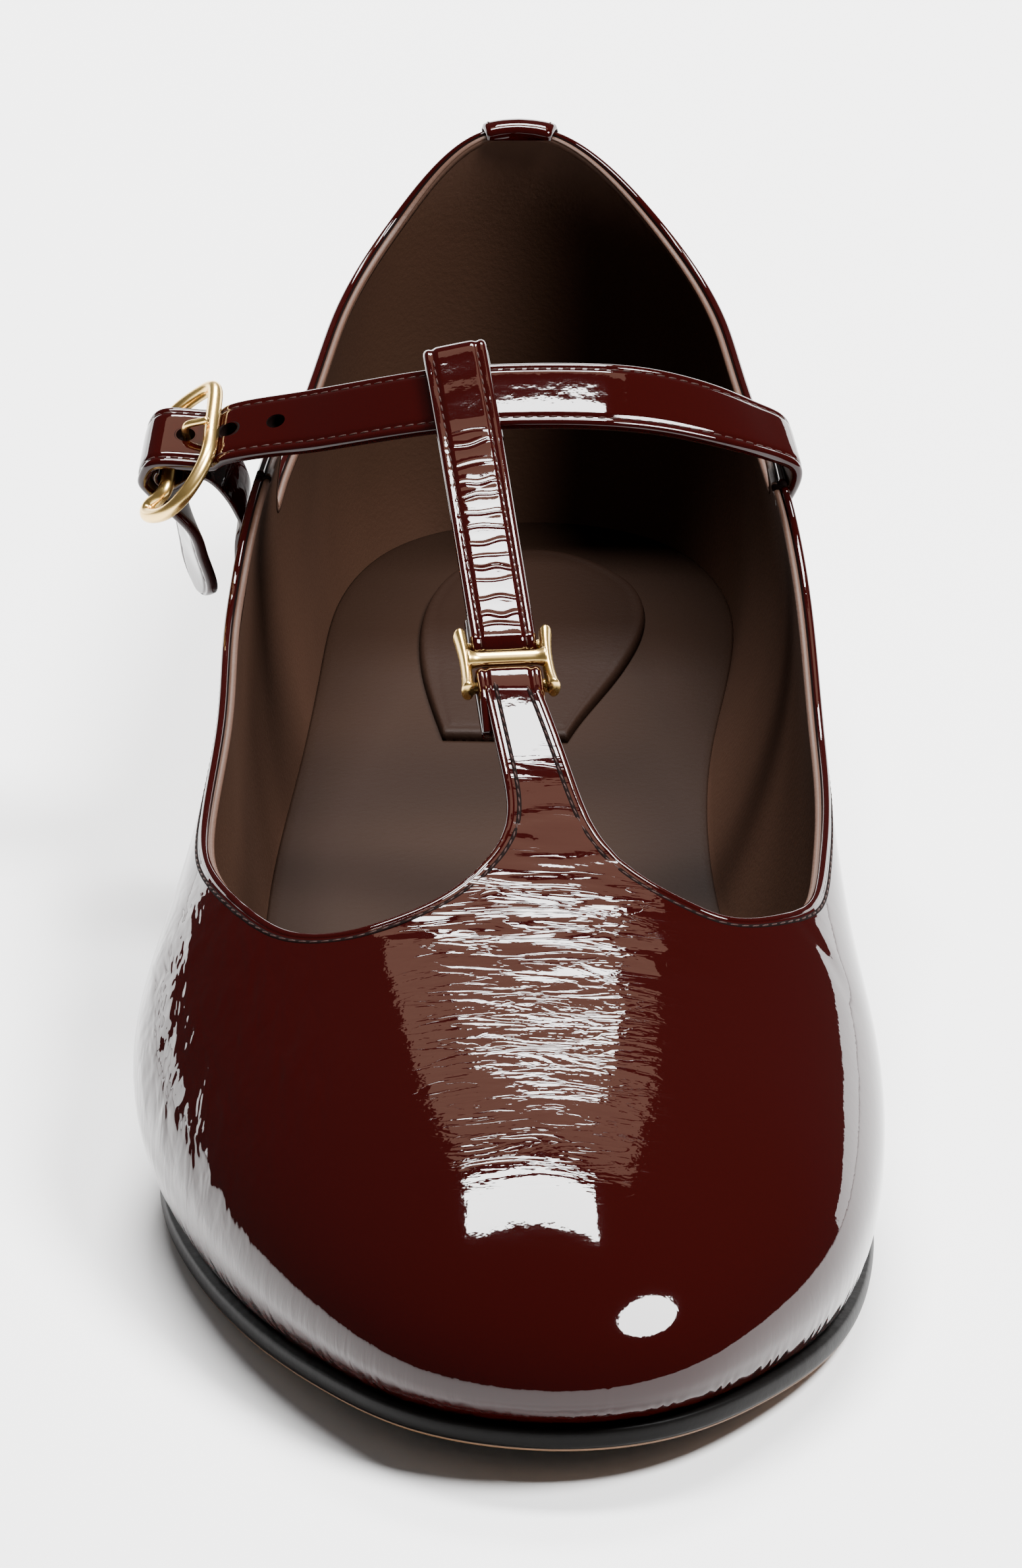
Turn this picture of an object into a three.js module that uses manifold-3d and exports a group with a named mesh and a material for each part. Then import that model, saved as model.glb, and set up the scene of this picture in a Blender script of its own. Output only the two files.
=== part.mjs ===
// Mary jane flat with a T-strap, right shoe, in millimetres.
// +Z is up, the toe points to -Y, +X is the medial side. The origin lies on the
// floor under the middle of the heel seat.
import * as THREE from 'three';
import { mergeVertices } from 'three/addons/utils/BufferGeometryUtils.js';
import Module from 'manifold-3d';

const wasm = await Module();
wasm.setup();

// Driving dimensions
const soleLength = 249.5;
const soleWidth = 84;
const heelBackY = 28;
const instepHeight = 68;
const heelLiftHeight = 3.2;
const toeSpring = 4.4;
const archRise = 1.6;
const outsoleThickness = 2.8;
const insoleThickness = 2;
const sockThickness = 1;
const upperWall = 1.8;
const soleMargin = 1.3;
const seatGap = 0.3;
const fitGap = 0.28;
const looseGap = 0.6;
const heelBreastRow = 4.15;
const backHeight = 62;
const heelLean = 2.6;
const collarHeight = 46;
const earHeight = 54.5;
const ankleStrapWidth = 10;
const teeStrapWidth = 7.6;
const strapThickness = 1.4;
const linkUpperBar = 4.5;
const linkLowerBar = 2.9;
const linkHalfLength = 5.5;
const linkFromTab = 6;
const linkBarRaise = 0.15;
const linkBarWidth = 1.2;
const linkLimb = 1.4;
const linkRound = 0.6;
const buckleWireRadius = 0.9;
const buckleHalfLength = 10.4;
const buckleBarAlong = 3.6;
const buckleStrapWidth = 8.6;
const buckleStrapThickness = 0.7;
const prongRadius = 0.45;
const strapHoleDiameter = 2.6;
const strapHolePitch = 5.8;
const backTabWidth = 10;
const backTabLength = 22;
const backTabThickness = 0.7;
const backTabInside = 0.2;
const backTabGap = 0.5;
const foldReturn = 7;

// One row for each section of the last, from the back of the heel to the toe.
// along and spineAlong are shares of soleLength, lateral and medial the half widths of the
// sole as shares of soleWidth, spineAcross the place of the crest, lean how much of heelLean
// the top of the section is set over to the lateral side, widest the height of the
// widest line as a share of instepHeight, outLateral and outMedial how far the wall bulges
// past the feather line as shares of soleWidth, full the exponent of the section's curve.
const sections = [
  { along: 0, lateral: 0.007, medial: -0.007, spineAlong: 0.088, spineAcross: -0.007, lean: 1,
    widest: 0.29, outLateral: 0.018, outMedial: 0.018, full: 2.4 },
  { along: 0.014, lateral: 0.165, medial: 0.151, spineAlong: 0.096, spineAcross: -0.007, lean: 0.97,
    widest: 0.29, outLateral: 0.018, outMedial: 0.018, full: 2.2 },
  { along: 0.052, lateral: 0.271, medial: 0.257, spineAlong: 0.112, spineAcross: -0.006, lean: 0.9,
    widest: 0.3, outLateral: 0.018, outMedial: 0.018, full: 1.85 },
  { along: 0.112, lateral: 0.327, medial: 0.315, spineAlong: 0.144, spineAcross: -0.004, lean: 0.75,
    widest: 0.33, outLateral: 0.018, outMedial: 0.018, full: 1.7 },
  { along: 0.193, lateral: 0.345, medial: 0.316, spineAlong: 0.208, spineAcross: 0, lean: 0.5,
    widest: 0.4, outLateral: 0.02, outMedial: 0.036, full: 1.85 },
  { along: 0.313, lateral: 0.36, medial: 0.288, spineAlong: 0.313, spineAcross: 0, lean: 0.2,
    widest: 0.53, outLateral: 0.038, outMedial: 0.1, full: 2.2 },
  { along: 0.433, lateral: 0.386, medial: 0.3, spineAlong: 0.433, spineAcross: 0, lean: 0,
    widest: 0.58, outLateral: 0.045, outMedial: 0.124, full: 2.4 },
  { along: 0.533, lateral: 0.398, medial: 0.357, spineAlong: 0.533, spineAcross: 0, lean: 0,
    widest: 0.49, outLateral: 0.038, outMedial: 0.09, full: 2.3 },
  { along: 0.633, lateral: 0.443, medial: 0.443, spineAlong: 0.633, spineAcross: 0.01, lean: 0,
    widest: 0.33, outLateral: 0.043, outMedial: 0.042, full: 2.2 },
  { along: 0.713, lateral: 0.473, medial: 0.494, spineAlong: 0.705, spineAcross: 0.018, lean: 0,
    widest: 0.25, outLateral: 0.05, outMedial: 0.03, full: 2.15 },
  { along: 0.794, lateral: 0.427, medial: 0.501, spineAlong: 0.765, spineAcross: 0.028, lean: 0,
    widest: 0.21, outLateral: 0.048, outMedial: 0.029, full: 2.1 },
  { along: 0.874, lateral: 0.333, medial: 0.461, spineAlong: 0.809, spineAcross: 0.038, lean: 0,
    widest: 0.19, outLateral: 0.043, outMedial: 0.031, full: 2.1 },
  { along: 0.938, lateral: 0.219, medial: 0.369, spineAlong: 0.837, spineAcross: 0.047, lean: 0,
    widest: 0.178, outLateral: 0.038, outMedial: 0.031, full: 2.1 },
  { along: 0.983, lateral: 0.087, medial: 0.248, spineAlong: 0.853, spineAcross: 0.053, lean: 0,
    widest: 0.172, outLateral: 0.036, outMedial: 0.033, full: 2.1 },
  { along: 1, lateral: -0.088, medial: 0.088, spineAlong: 0.861, spineAcross: 0.056, lean: 0,
    widest: 0.17, outLateral: 0.034, outMedial: 0.034, full: 2.1 },
];

// Height of the last's crest along the shoe, as a share of instepHeight. Behind the instep
// it only shapes the walls, because the opening takes the top away.
const crestRows = [
  { along: 0, crest: 1.32 },
  { along: 0.1, crest: 1.32 },
  { along: 0.2, crest: 1.27 },
  { along: 0.313, crest: 1.16 },
  { along: 0.433, crest: 1.02 },
  { along: 0.533, crest: 0.885 },
  { along: 0.633, crest: 0.745 },
  { along: 0.705, crest: 0.643 },
  { along: 0.775, crest: 0.562 },
  { along: 0.84, crest: 0.498 },
  { along: 0.9, crest: 0.444 },
  { along: 0.95, crest: 0.404 },
  { along: 1.02, crest: 0.354 },
];

// Underside of the outsole from the heel to the toe: along as a share of soleLength, and the
// shares of heelLiftHeight, archRise and toeSpring that lift it there.
const soleProfile = [
  { along: 0, heel: 1, arch: 0, toe: 0 },
  { along: 0.1, heel: 1, arch: 0, toe: 0 },
  { along: 0.2, heel: 1, arch: 0, toe: 0 },
  { along: 0.28, heel: 0.9, arch: 0.6, toe: 0 },
  { along: 0.37, heel: 0.6, arch: 1, toe: 0 },
  { along: 0.46, heel: 0.24, arch: 0.6, toe: 0 },
  { along: 0.54, heel: 0, arch: 0, toe: 0 },
  { along: 0.63, heel: 0, arch: 0, toe: 0 },
  { along: 0.73, heel: 0, arch: 0, toe: 0 },
  { along: 0.8, heel: 0, arch: 0, toe: 0.1 },
  { along: 0.87, heel: 0, arch: 0, toe: 0.35 },
  { along: 0.94, heel: 0, arch: 0, toe: 0.72 },
  { along: 1, heel: 0, arch: 0, toe: 1 },
];

// Height of the collar against the section number, as shares of collarHeight on each side,
// with how much of the back's extra height and of the ear's extra height is added.
const collarRows = [
  { at: 0, lateral: 1, medial: 1, back: 1, ear: 0 },
  { at: 0.35, lateral: 1, medial: 1, back: 0.97, ear: 0 },
  { at: 0.7, lateral: 1, medial: 1, back: 0.85, ear: 0 },
  { at: 1, lateral: 1, medial: 1, back: 0.69, ear: 0 },
  { at: 1.5, lateral: 1, medial: 1, back: 0.42, ear: 0 },
  { at: 2, lateral: 1, medial: 1, back: 0.24, ear: 0 },
  { at: 3, lateral: 1, medial: 1, back: 0.07, ear: 0 },
  { at: 4, lateral: 0.985, medial: 1, back: 0, ear: 0 },
  { at: 4.5, lateral: 0.955, medial: 0.99, back: 0, ear: 0 },
  { at: 4.85, lateral: 0.925, medial: 0.985, back: 0, ear: 0.02 },
  { at: 5, lateral: 0.93, medial: 0.99, back: 0, ear: 0.16 },
  { at: 5.1, lateral: 1, medial: 1, back: 0, ear: 0.62 },
  { at: 5.2, lateral: 1, medial: 1, back: 0, ear: 1 },
];

// Front edge of the opening on each side, from the top of the ear along the side, round the
// scallop and up the tab: along is a share of soleLength, across a share of soleWidth from
// the middle, and up a share of instepHeight.
const tabEndAlong = 0.609;
const lateralThroat = [
  { along: 0.37, across: -0.36, up: 1.1 },
  { along: 0.377, across: -0.396, up: 0.82 },
  { along: 0.394, across: -0.407, up: 0.712 },
  { along: 0.418, across: -0.409, up: 0.641 },
  { along: 0.469, across: -0.407, up: 0.601 },
  { along: 0.529, across: -0.407, up: 0.572 },
  { along: 0.597, across: -0.418, up: 0.54 },
  { along: 0.64, across: -0.416, up: 0.528 },
  { along: 0.675, across: -0.397, up: 0.535 },
  { along: 0.716, across: -0.342, up: 0.541 },
  { along: 0.738, across: -0.279, up: 0.537 },
  { along: 0.746, across: -0.207, up: 0.544 },
  { along: 0.744, across: -0.143, up: 0.556 },
  { along: 0.734, across: -0.073, up: 0.579 },
  { along: 0.712, across: -0.017, up: 0.619 },
  { along: 0.686, across: 0.004, up: 0.662 },
  { along: 0.65, across: -0.014, up: 0.72 },
  { along: tabEndAlong, across: -0.0452, up: 0.786 },
];
const medialThroat = [
  { along: 0.37, across: 0.36, up: 1.1 },
  { along: 0.381, across: 0.398, up: 0.82 },
  { along: 0.401, across: 0.407, up: 0.741 },
  { along: 0.433, across: 0.411, up: 0.671 },
  { along: 0.473, across: 0.417, up: 0.609 },
  { along: 0.529, across: 0.43, up: 0.552 },
  { along: 0.593, across: 0.44, up: 0.535 },
  { along: 0.633, across: 0.438, up: 0.527 },
  { along: 0.677, across: 0.425, up: 0.522 },
  { along: 0.705, across: 0.377, up: 0.528 },
  { along: 0.725, across: 0.299, up: 0.54 },
  { along: 0.725, across: 0.229, up: 0.55 },
  { along: 0.715, across: 0.156, up: 0.576 },
  { along: 0.695, across: 0.104, up: 0.618 },
  { along: 0.661, across: 0.074, up: 0.681 },
  { along: tabEndAlong, across: 0.0452, up: 0.786 },
];

// Middle of the ankle strap from above the medial ear over the instep to the buckle, and the
// direction of its front edge. Both ends are worked out from the ear and the buckle.
const ankleRows = [
  { along: 0.3635, across: 0.374, up: 0.835, edge: [0.2, -1, -0.28] },
  { along: 0.367, across: 0.346, up: 0.866, edge: [0.3, -1, -0.36] },
  { along: 0.376, across: 0.297, up: 0.903, edge: [0.26, -1, -0.42] },
  { along: 0.384, across: 0.2, up: 0.948, edge: [0.1, -1, -0.45] },
  { along: 0.39, across: 0.1, up: 0.97, edge: [0, -1, -0.45] },
  { along: 0.39, across: -0.03, up: 0.968, edge: [0, -1, -0.45] },
  { along: 0.387, across: -0.14, up: 0.95, edge: [-0.03, -1, -0.45] },
  { along: 0.376, across: -0.27, up: 0.903, edge: [-0.06, -1, -0.42] },
  { along: 0.368, across: -0.34, up: 0.876, edge: [-0.08, -1, -0.38] },
];
const tailRows = [
  { along: 0.3527, across: -0.486, up: 0.693, edge: [0.25, -1, -0.32] },
  { along: 0.3503, across: -0.476, up: 0.638, edge: [0.38, -1, -0.3] },
  { along: 0.3479, across: -0.467, up: 0.584, edge: [0.45, -1, -0.28] },
  { along: 0.3455, across: -0.461, up: 0.526, edge: [0.45, -1, -0.28] },
];
const tailTipLength = 3.6;
const earOverlap = 3;

// Where the two ears stand, in section numbers
const lateralEarMiddle = 5.36;
const medialEarMiddle = 5.36;

// Heights at which the buckle's short strap lies on the quarter, as shares of collarHeight
const buckleStrapRise = [0.89, 0.945, 1, 1.055];

// Smooth curve of several channels through its rows: a cubic spline whose second derivative
// is continuous. A closed one repeats its rows on both sides, so that the ends do not show.
function splineThrough(rows, knots) {
  const n = rows.length;
  const width = rows[0].length;
  const step = (i) => knots[i + 1] - knots[i];
  const second = rows.map(() => new Array(width).fill(0));
  for (let c = 0; c < width; c++) {
    const upper = new Array(n).fill(0);
    const right = new Array(n).fill(0);
    for (let i = 1; i < n - 1; i++) {
      const slopeAfter = (rows[i + 1][c] - rows[i][c]) / step(i);
      const slopeBefore = (rows[i][c] - rows[i - 1][c]) / step(i - 1);
      const pivot = 2 * (step(i - 1) + step(i)) - step(i - 1) * upper[i - 1];
      upper[i] = step(i) / pivot;
      right[i] = (6 * (slopeAfter - slopeBefore) - step(i - 1) * right[i - 1]) / pivot;
    }
    for (let i = n - 2; i > 0; i--) {
      second[i][c] = right[i] - upper[i] * second[i + 1][c];
    }
  }
  return (at) => {
    let i = 0;
    while (i < n - 2 && at > knots[i + 1]) i++;
    const h = step(i);
    const b = (at - knots[i]) / h;
    const a = 1 - b;
    return rows[i].map((value, c) => a * value + b * rows[i + 1][c]
      + ((a ** 3 - a) * second[i][c] + (b ** 3 - b) * second[i + 1][c]) * h * h / 6);
  };
}

function closedSpline(rows) {
  const n = rows.length;
  const three = [...rows, ...rows, ...rows];
  const curve = splineThrough(three, three.map((row, i) => i - n));
  return (at) => curve(((at % n) + n) % n);
}

// Open curve through points, with a parameter from 0 to 1 that follows the length.
function openSpline(points) {
  const knots = [0];
  for (let i = 1; i < points.length; i++) {
    const gap = Math.hypot(...points[i].map((value, c) => value - points[i - 1][c]));
    knots.push(knots[i - 1] + Math.sqrt(gap));
  }
  const end = knots[knots.length - 1];
  const curve = splineThrough(points, knots);
  return (share) => curve(share * end);
}

function steps(count, fn) {
  return Array.from({ length: count }, (unused, i) => fn(i));
}

// Closed surface from rings of points. The rings close on themselves. The first and last
// ring are joined when loop is set, and otherwise covered by caps. A last ring that folds
// onto the spine closes by itself and has no cap.
function ringSolid(rings, { loop = false, zipCaps = false, openTop = false } = {}) {
  const count = rings[0].length;
  const points = rings.flat();
  const faces = [];
  const id = (i, j) => (i % rings.length) * count + (j % count);
  const spans = loop ? rings.length : rings.length - 1;
  for (let i = 0; i < spans; i++) {
    for (let j = 0; j < count; j++) {
      faces.push(id(i, j), id(i + 1, j), id(i + 1, j + 1));
      faces.push(id(i, j), id(i + 1, j + 1), id(i, j + 1));
    }
  }
  if (!loop) {
    capRing(faces, points, 0, count, false, zipCaps);
    if (!openTop) capRing(faces, points, (rings.length - 1) * count, count, true, zipCaps);
  }
  return geometryOf(points, faces);
}

// Cover of one ring: a fan about its middle, or a zip between its two halves where the ring
// is long and bent.
function capRing(faces, points, first, count, flip, zip) {
  const add = (a, b, c) => (flip ? faces.push(a, c, b) : faces.push(a, b, c));
  if (zip) {
    for (let k = 0; k < count / 2; k++) {
      const a = first + k;
      const b = first + k + 1;
      const c = first + ((count - k) % count);
      const d = first + count - k - 1;
      if (a !== c && b !== c) add(a, b, c);
      if (b !== d && d !== c) add(b, d, c);
    }
    return;
  }
  const middle = new Array(3).fill(0);
  for (let j = 0; j < count; j++) {
    points[first + j].forEach((value, c) => { middle[c] += value / count; });
  }
  const centre = points.length;
  points.push(middle);
  for (let j = 0; j < count; j++) {
    add(first + j, first + ((j + 1) % count), centre);
  }
}

// Geometry with shared vertices, faces turned outwards.
function geometryOf(points, faces) {
  const soup = new THREE.BufferGeometry();
  soup.setAttribute('position', new THREE.Float32BufferAttribute(points.flat(), 3));
  soup.setIndex(faces);
  const merged = mergeVertices(soup, 1e-4);
  const index = merged.index.array;
  const kept = [];
  for (let i = 0; i < index.length; i += 3) {
    const [a, b, c] = [index[i], index[i + 1], index[i + 2]];
    if (a !== b && b !== c && c !== a) kept.push(a, b, c);
  }
  const place = merged.attributes.position;
  const corner = (i) => new THREE.Vector3().fromBufferAttribute(place, i);
  let volume = 0;
  for (let i = 0; i < kept.length; i += 3) {
    volume += corner(kept[i]).dot(corner(kept[i + 1]).cross(corner(kept[i + 2])));
  }
  if (volume < 0) kept.reverse();
  merged.setIndex(kept);
  return merged;
}

// Solids for cutting and joining
function solidOf(geometry) {
  const bare = geometry.clone();
  bare.deleteAttribute('normal');
  bare.deleteAttribute('uv');
  const merged = mergeVertices(bare, 1e-4);
  return new wasm.Manifold(new wasm.Mesh({
    numProp: 3,
    vertProperties: new Float32Array(merged.attributes.position.array),
    triVerts: new Uint32Array(merged.index.array),
  }));
}

function geometryOfSolid(solid) {
  const mesh = solid.getMesh();
  const geometry = new THREE.BufferGeometry();
  geometry.setAttribute('position', new THREE.BufferAttribute(mesh.vertProperties, 3));
  geometry.setIndex(new THREE.BufferAttribute(mesh.triVerts, 1));
  return geometry;
}

// Small vector helpers on plain arrays
const add = (a, b, k = 1) => a.map((value, c) => value + k * b[c]);
const unit = (a) => a.map((value) => value / Math.hypot(...a));
const cross = (a, b) => [
  a[1] * b[2] - a[2] * b[1],
  a[2] * b[0] - a[0] * b[2],
  a[0] * b[1] - a[1] * b[0],
];

const alongY = (share) => heelBackY - share * soleLength;
const placeOf = (row) => [
  row.across * soleWidth,
  alongY(row.along),
  row.up * instepHeight,
];

// Loop round the last: the lateral sections from heel to toe, then the medial ones back.
const toeRow = sections.length - 1;
const loopCount = 2 * toeRow;
const lastLoop = closedSpline(steps(loopCount, (i) => {
  const lateral = i <= toeRow;
  const row = sections[lateral ? i : loopCount - i];
  const edge = lateral ? -row.lateral : row.medial;
  const out = lateral ? row.outLateral : row.outMedial;
  return [edge * soleWidth, alongY(row.along), row.spineAcross * soleWidth,
    alongY(row.spineAlong), row.widest * instepHeight, out * soleWidth, row.full,
    row.lean * heelLean];
}));

const crestCurve = splineThrough(
  crestRows.map((row) => [row.crest * instepHeight]),
  crestRows.map((row) => row.along),
);
const crestAt = (y) => crestCurve((heelBackY - y) / soleLength)[0];

const soleCurve = splineThrough(
  soleProfile.map((row) => [
    row.heel * heelLiftHeight + row.arch * archRise + row.toe * toeSpring,
  ]),
  soleProfile.map((row) => row.along),
);
// The flat spots of heel seat and ball are exactly flat.
const flatHeel = soleProfile[2].along;
const flatBall = [soleProfile[6].along, soleProfile[8].along];

function soleBottom(y) {
  const along = Math.min(Math.max((heelBackY - y) / soleLength, 0), 1);
  if (along <= flatHeel) return heelLiftHeight;
  if (along >= flatBall[0] && along <= flatBall[1]) return 0;
  return Math.max(soleCurve(along)[0], 0);
}

const soleTop = (y) => soleBottom(y) + outsoleThickness;

// Point of the sole's outline moved inwards by inset along the ray to the spine.
function outlinePoint(at, inset) {
  const [x, y, spineX, spineY] = lastLoop(at);
  const ray = unit([x - spineX, y - spineY]);
  return [x - ray[0] * inset, y - ray[1] * inset];
}

const lowShare = 0.22;
const leanShift = (lean, rise) => lean * 2 * (rise / backHeight) ** 2;

// Outer surface of the upper: at runs round the loop, level from the feather line (0) to the
// crest (1). Under the widest line the wall curves out as a parabola. Above it the section
// is a superellipse between the widest line and the height of the crest at that place.
function lastPoint(at, level) {
  const [x, y, spineX, spineY, widest, out, full, lean] = lastLoop(at);
  const reach = Math.hypot(x - spineX, y - spineY);
  const ray = [(x - spineX) / reach, (y - spineY) / reach];
  const radius = reach - soleMargin + out;
  const foot = soleTop(y) + seatGap;
  if (level < lowShare) {
    const q = level / lowShare;
    const low = radius - out * (1 - q) ** 2;
    return [spineX + ray[0] * low, spineY + ray[1] * low, foot + (widest - foot) * q];
  }
  const turn = (level - lowShare) / (1 - lowShare) * Math.PI / 2;
  const distance = radius * Math.max(Math.cos(turn), 0) ** (2 / full);
  const placeY = spineY + ray[1] * distance;
  const rise = (crestAt(placeY) - widest) * Math.sin(turn) ** (2 / full);
  return [spineX + ray[0] * distance - leanShift(lean, rise), placeY, widest + rise];
}

function lastNormal(at, level) {
  const low = Math.min(Math.max(level, 0.004), 0.985);
  const round = add(lastPoint(at + 0.01, low), lastPoint(at - 0.01, low), -1);
  const up = add(lastPoint(at, low + 0.004), lastPoint(at, low - 0.004), -1);
  return unit(cross(round, up));
}

// Surface moved inwards by depth, still smooth at the crest
function wallPoint(at, level, depth) {
  if (level >= 0.999) return add(lastPoint(at, 1), [0, 0, -depth * 1.05]);
  return add(lastPoint(at, level), lastNormal(at, level), -depth);
}

const ringCount = loopCount * 3;
const levels = [0, 0.11, 0.22, 0.35, 0.45, 0.55, 0.65, 0.74, 0.83, 0.9, 0.96, 1];
const ringAt = (j) => j / 3;

function upperForm(depth, drop) {
  const rings = levels.map((level) => (
    steps(ringCount, (j) => wallPoint(ringAt(j), level, depth))
  ));
  if (drop > 0) {
    rings.unshift(rings[0].map((point) => add(point, [0, 0, -drop])));
  }
  return ringSolid(rings, { zipCaps: true, openTop: true });
}

const collarCurve = splineThrough(
  collarRows.map((row) => [
    row.lateral * collarHeight + row.back * (backHeight - collarHeight),
    row.medial * collarHeight + row.back * (backHeight - collarHeight),
    row.ear,
  ]),
  collarRows.map((row) => row.at),
);
const earRow = collarRows[collarRows.length - 1].at;

// Height of the collar at a place on the loop. From the ear forwards it stays at the ear's
// height, because the throat cutters shape the rest.
function collarTop(at) {
  const folded = at <= toeRow ? at : loopCount - at;
  if (folded >= earRow) return earHeight;
  const [lateral, medial, ear] = collarCurve(folded);
  const side = at <= toeRow ? lateral : medial;
  return side + ear * (earHeight - side);
}

// Everything above the collar: level along each ray from outside the wall to inside it, and
// from there covered across the shoe.
function collarCutter() {
  const perRow = 8;
  const above = 140;
  const reachOut = 14;
  const reachIn = 13;
  const ring = (inset, height) => steps(loopCount * perRow, (j) => {
    const at = j / perRow;
    const loop = lastLoop(at);
    const shift = leanShift(loop[7], Math.max(collarTop(at) - loop[4], 0));
    const [x, y] = outlinePoint(at, inset);
    return [x - shift, y, height(at)];
  });
  const rings = [
    ring(-reachOut, () => above),
    ring(-reachOut, collarTop),
    ring(reachIn, collarTop),
  ];
  return solidOf(ringSolid(rings, { zipCaps: true }));
}

// Opening in front of the ear, cut slantwise from above and outside so that it meets both
// the wall and the vamp squarely. side is -1 for lateral and 1 for medial.
function throatOutline(rows, side) {
  const curve = openSpline(rows.map(placeOf));
  return steps(73, (i) => {
    const [x, y, z] = curve(i / 72);
    return [y, (z - side * x) * Math.SQRT1_2];
  });
}

function throatCutter(rows, side) {
  const outline = throatOutline(rows, side);
  const farUp = 90;
  const tabEndY = outline[outline.length - 1][0];
  const closing = [[tabEndY, farUp], [outline[0][0], farUp]];
  const slantFrom = 16;
  const slantTo = 90;
  const ring = [...outline, ...closing];
  const lift = (depth) => ring.map(([y, q]) => {
    const half = Math.SQRT1_2;
    return [side * (depth - q) * half, y, (depth + q) * half];
  });
  const shape = ring.map(([y, q]) => new THREE.Vector2(y, q));
  const points = [...lift(slantFrom), ...lift(slantTo)];
  const count = ring.length;
  const faces = [];
  for (const [a, b, c] of THREE.ShapeUtils.triangulateShape(shape, [])) {
    faces.push(a, b, c, a + count, c + count, b + count);
  }
  const turn = THREE.ShapeUtils.isClockWise(shape);
  for (let j = 0; j < count; j++) {
    const k = (j + 1) % count;
    if (turn) faces.push(j, k, k + count, j, k + count, j + count);
    else faces.push(j, k + count, k, j, j + count, k + count);
  }
  return solidOf(geometryOf(points, faces));
}

// Closed band along a path: each stop gives its middle, the direction across and the
// thickness direction. The section is a rectangle with its corners taken off.
function band(stops, width, thickness) {
  const bevel = Math.min(0.35, thickness / 3);
  const [w, t] = [width / 2, thickness / 2];
  const section = [
    [-w + bevel, -t], [w - bevel, -t], [w, -t + bevel], [w, t - bevel],
    [w - bevel, t], [-w + bevel, t], [-w, t - bevel], [-w, -t + bevel],
  ];
  const rings = stops.map(({ middle, across, up, narrow = 1 }) => (
    section.map(([a, b]) => add(add(middle, across, a * narrow), up, b))
  ));
  return ringSolid(rings);
}

// Stops along a smooth path. A row holds a place and the direction of the front edge.
function strapStops(rows, count) {
  const curve = openSpline(rows);
  const at = (share) => curve(Math.min(Math.max(share, 0), 1));
  return steps(count, (i) => {
    const share = i / (count - 1);
    const here = at(share);
    const ahead = at(share + 0.004);
    const behind = at(share - 0.004);
    const heading = unit(add(ahead.slice(0, 3), behind.slice(0, 3), -1));
    const edge = unit(here.slice(3));
    const up = unit(cross(edge, heading));
    return { middle: here.slice(0, 3), across: unit(cross(heading, up)), up };
  });
}

// Sole pieces
function outsole() {
  const count = loopCount * 3;
  const edge = [
    { inset: 1, share: 0 }, { inset: 0.2, share: 0.18 },
    { inset: 0, share: 0.6 }, { inset: 0.35, share: 1 },
  ];
  const rings = edge.map(({ inset, share }) => steps(count, (j) => {
    const [x, y] = outlinePoint(j / 3, inset);
    return [x, y, soleBottom(y) + share * outsoleThickness];
  }));
  return ringSolid(rings, { zipCaps: true });
}

function heelLift() {
  const per = 12;
  const last = Math.round(heelBreastRow * per);
  const inset = 0.9;
  const lateral = steps(last + 1, (i) => outlinePoint((last - i) / per, inset));
  const medial = steps(last, (i) => outlinePoint(loopCount - (i + 1) / per, inset));
  const outline = [...lateral, ...medial];
  const top = heelLiftHeight - seatGap;
  const rings = [0, top].map((z) => outline.map(([x, y]) => [x, y, z]));
  return ringSolid(rings, { zipCaps: false });
}

// Level at which the wall, moved inwards by depth, reaches a height
function levelAt(at, height, depth) {
  let low = 0;
  let high = 1;
  for (let i = 0; i < 30; i++) {
    const middle = (low + high) / 2;
    if (wallPoint(at, middle, depth)[2] < height) low = middle;
    else high = middle;
  }
  return low;
}

const insoleBottom = (y) => soleTop(y) + seatGap;
const insoleTop = (y) => insoleBottom(y) + insoleThickness;

function insole() {
  const rings = [insoleBottom, insoleTop].map((heightAt) => steps(ringCount, (j) => {
    const at = ringAt(j);
    const height = heightAt(outlinePoint(at, soleMargin)[1]);
    const level = levelAt(at, height, upperWall + looseGap);
    const [x, y] = wallPoint(at, level, upperWall + looseGap);
    return [x, y, heightAt(y)];
  }));
  return ringSolid(rings, { zipCaps: true });
}

// Outline of the heel pad, shares of soleLength and soleWidth
const sockOutline = [
  { along: 0.282, across: -0.125 }, { along: 0.19, across: -0.165 },
  { along: 0.117, across: -0.16 }, { along: 0.073, across: -0.11 },
  { along: 0.056, across: -0.045 }, { along: 0.056, across: 0.03 },
  { along: 0.082, across: 0.115 }, { along: 0.108, across: 0.15 },
  { along: 0.158, across: 0.152 }, { along: 0.25, across: 0.08 },
  { along: 0.283, across: 0.055 },
];

function heelSock() {
  const flat = sockOutline.map((row) => [row.across * soleWidth, alongY(row.along)]);
  const curve = openSpline(flat);
  const outline = steps(40, (i) => curve(i / 39));
  const rings = [seatGap, seatGap + sockThickness].map((lift) => (
    outline.map(([x, y]) => [x, y, insoleTop(y) + lift])
  ));
  return ringSolid(rings);
}

// Buckle: along runs down and out across the wire frame from its free limb to the one that
// carries the prong, across towards the toe, up out of the frame.
const buckleCentre = [-0.47 * soleWidth, alongY(0.3615), 0.832 * instepHeight];
const buckleAcross = unit([-0.09, -1, -0.36]);
const buckleUp = unit(cross([-0.7, 0, -0.71], buckleAcross));
const buckleAlong = unit(cross(buckleAcross, buckleUp));

function bucklePoint(a, b, h) {
  return add(add(add(buckleCentre, buckleAlong, a), buckleAcross, b), buckleUp, h);
}

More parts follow.
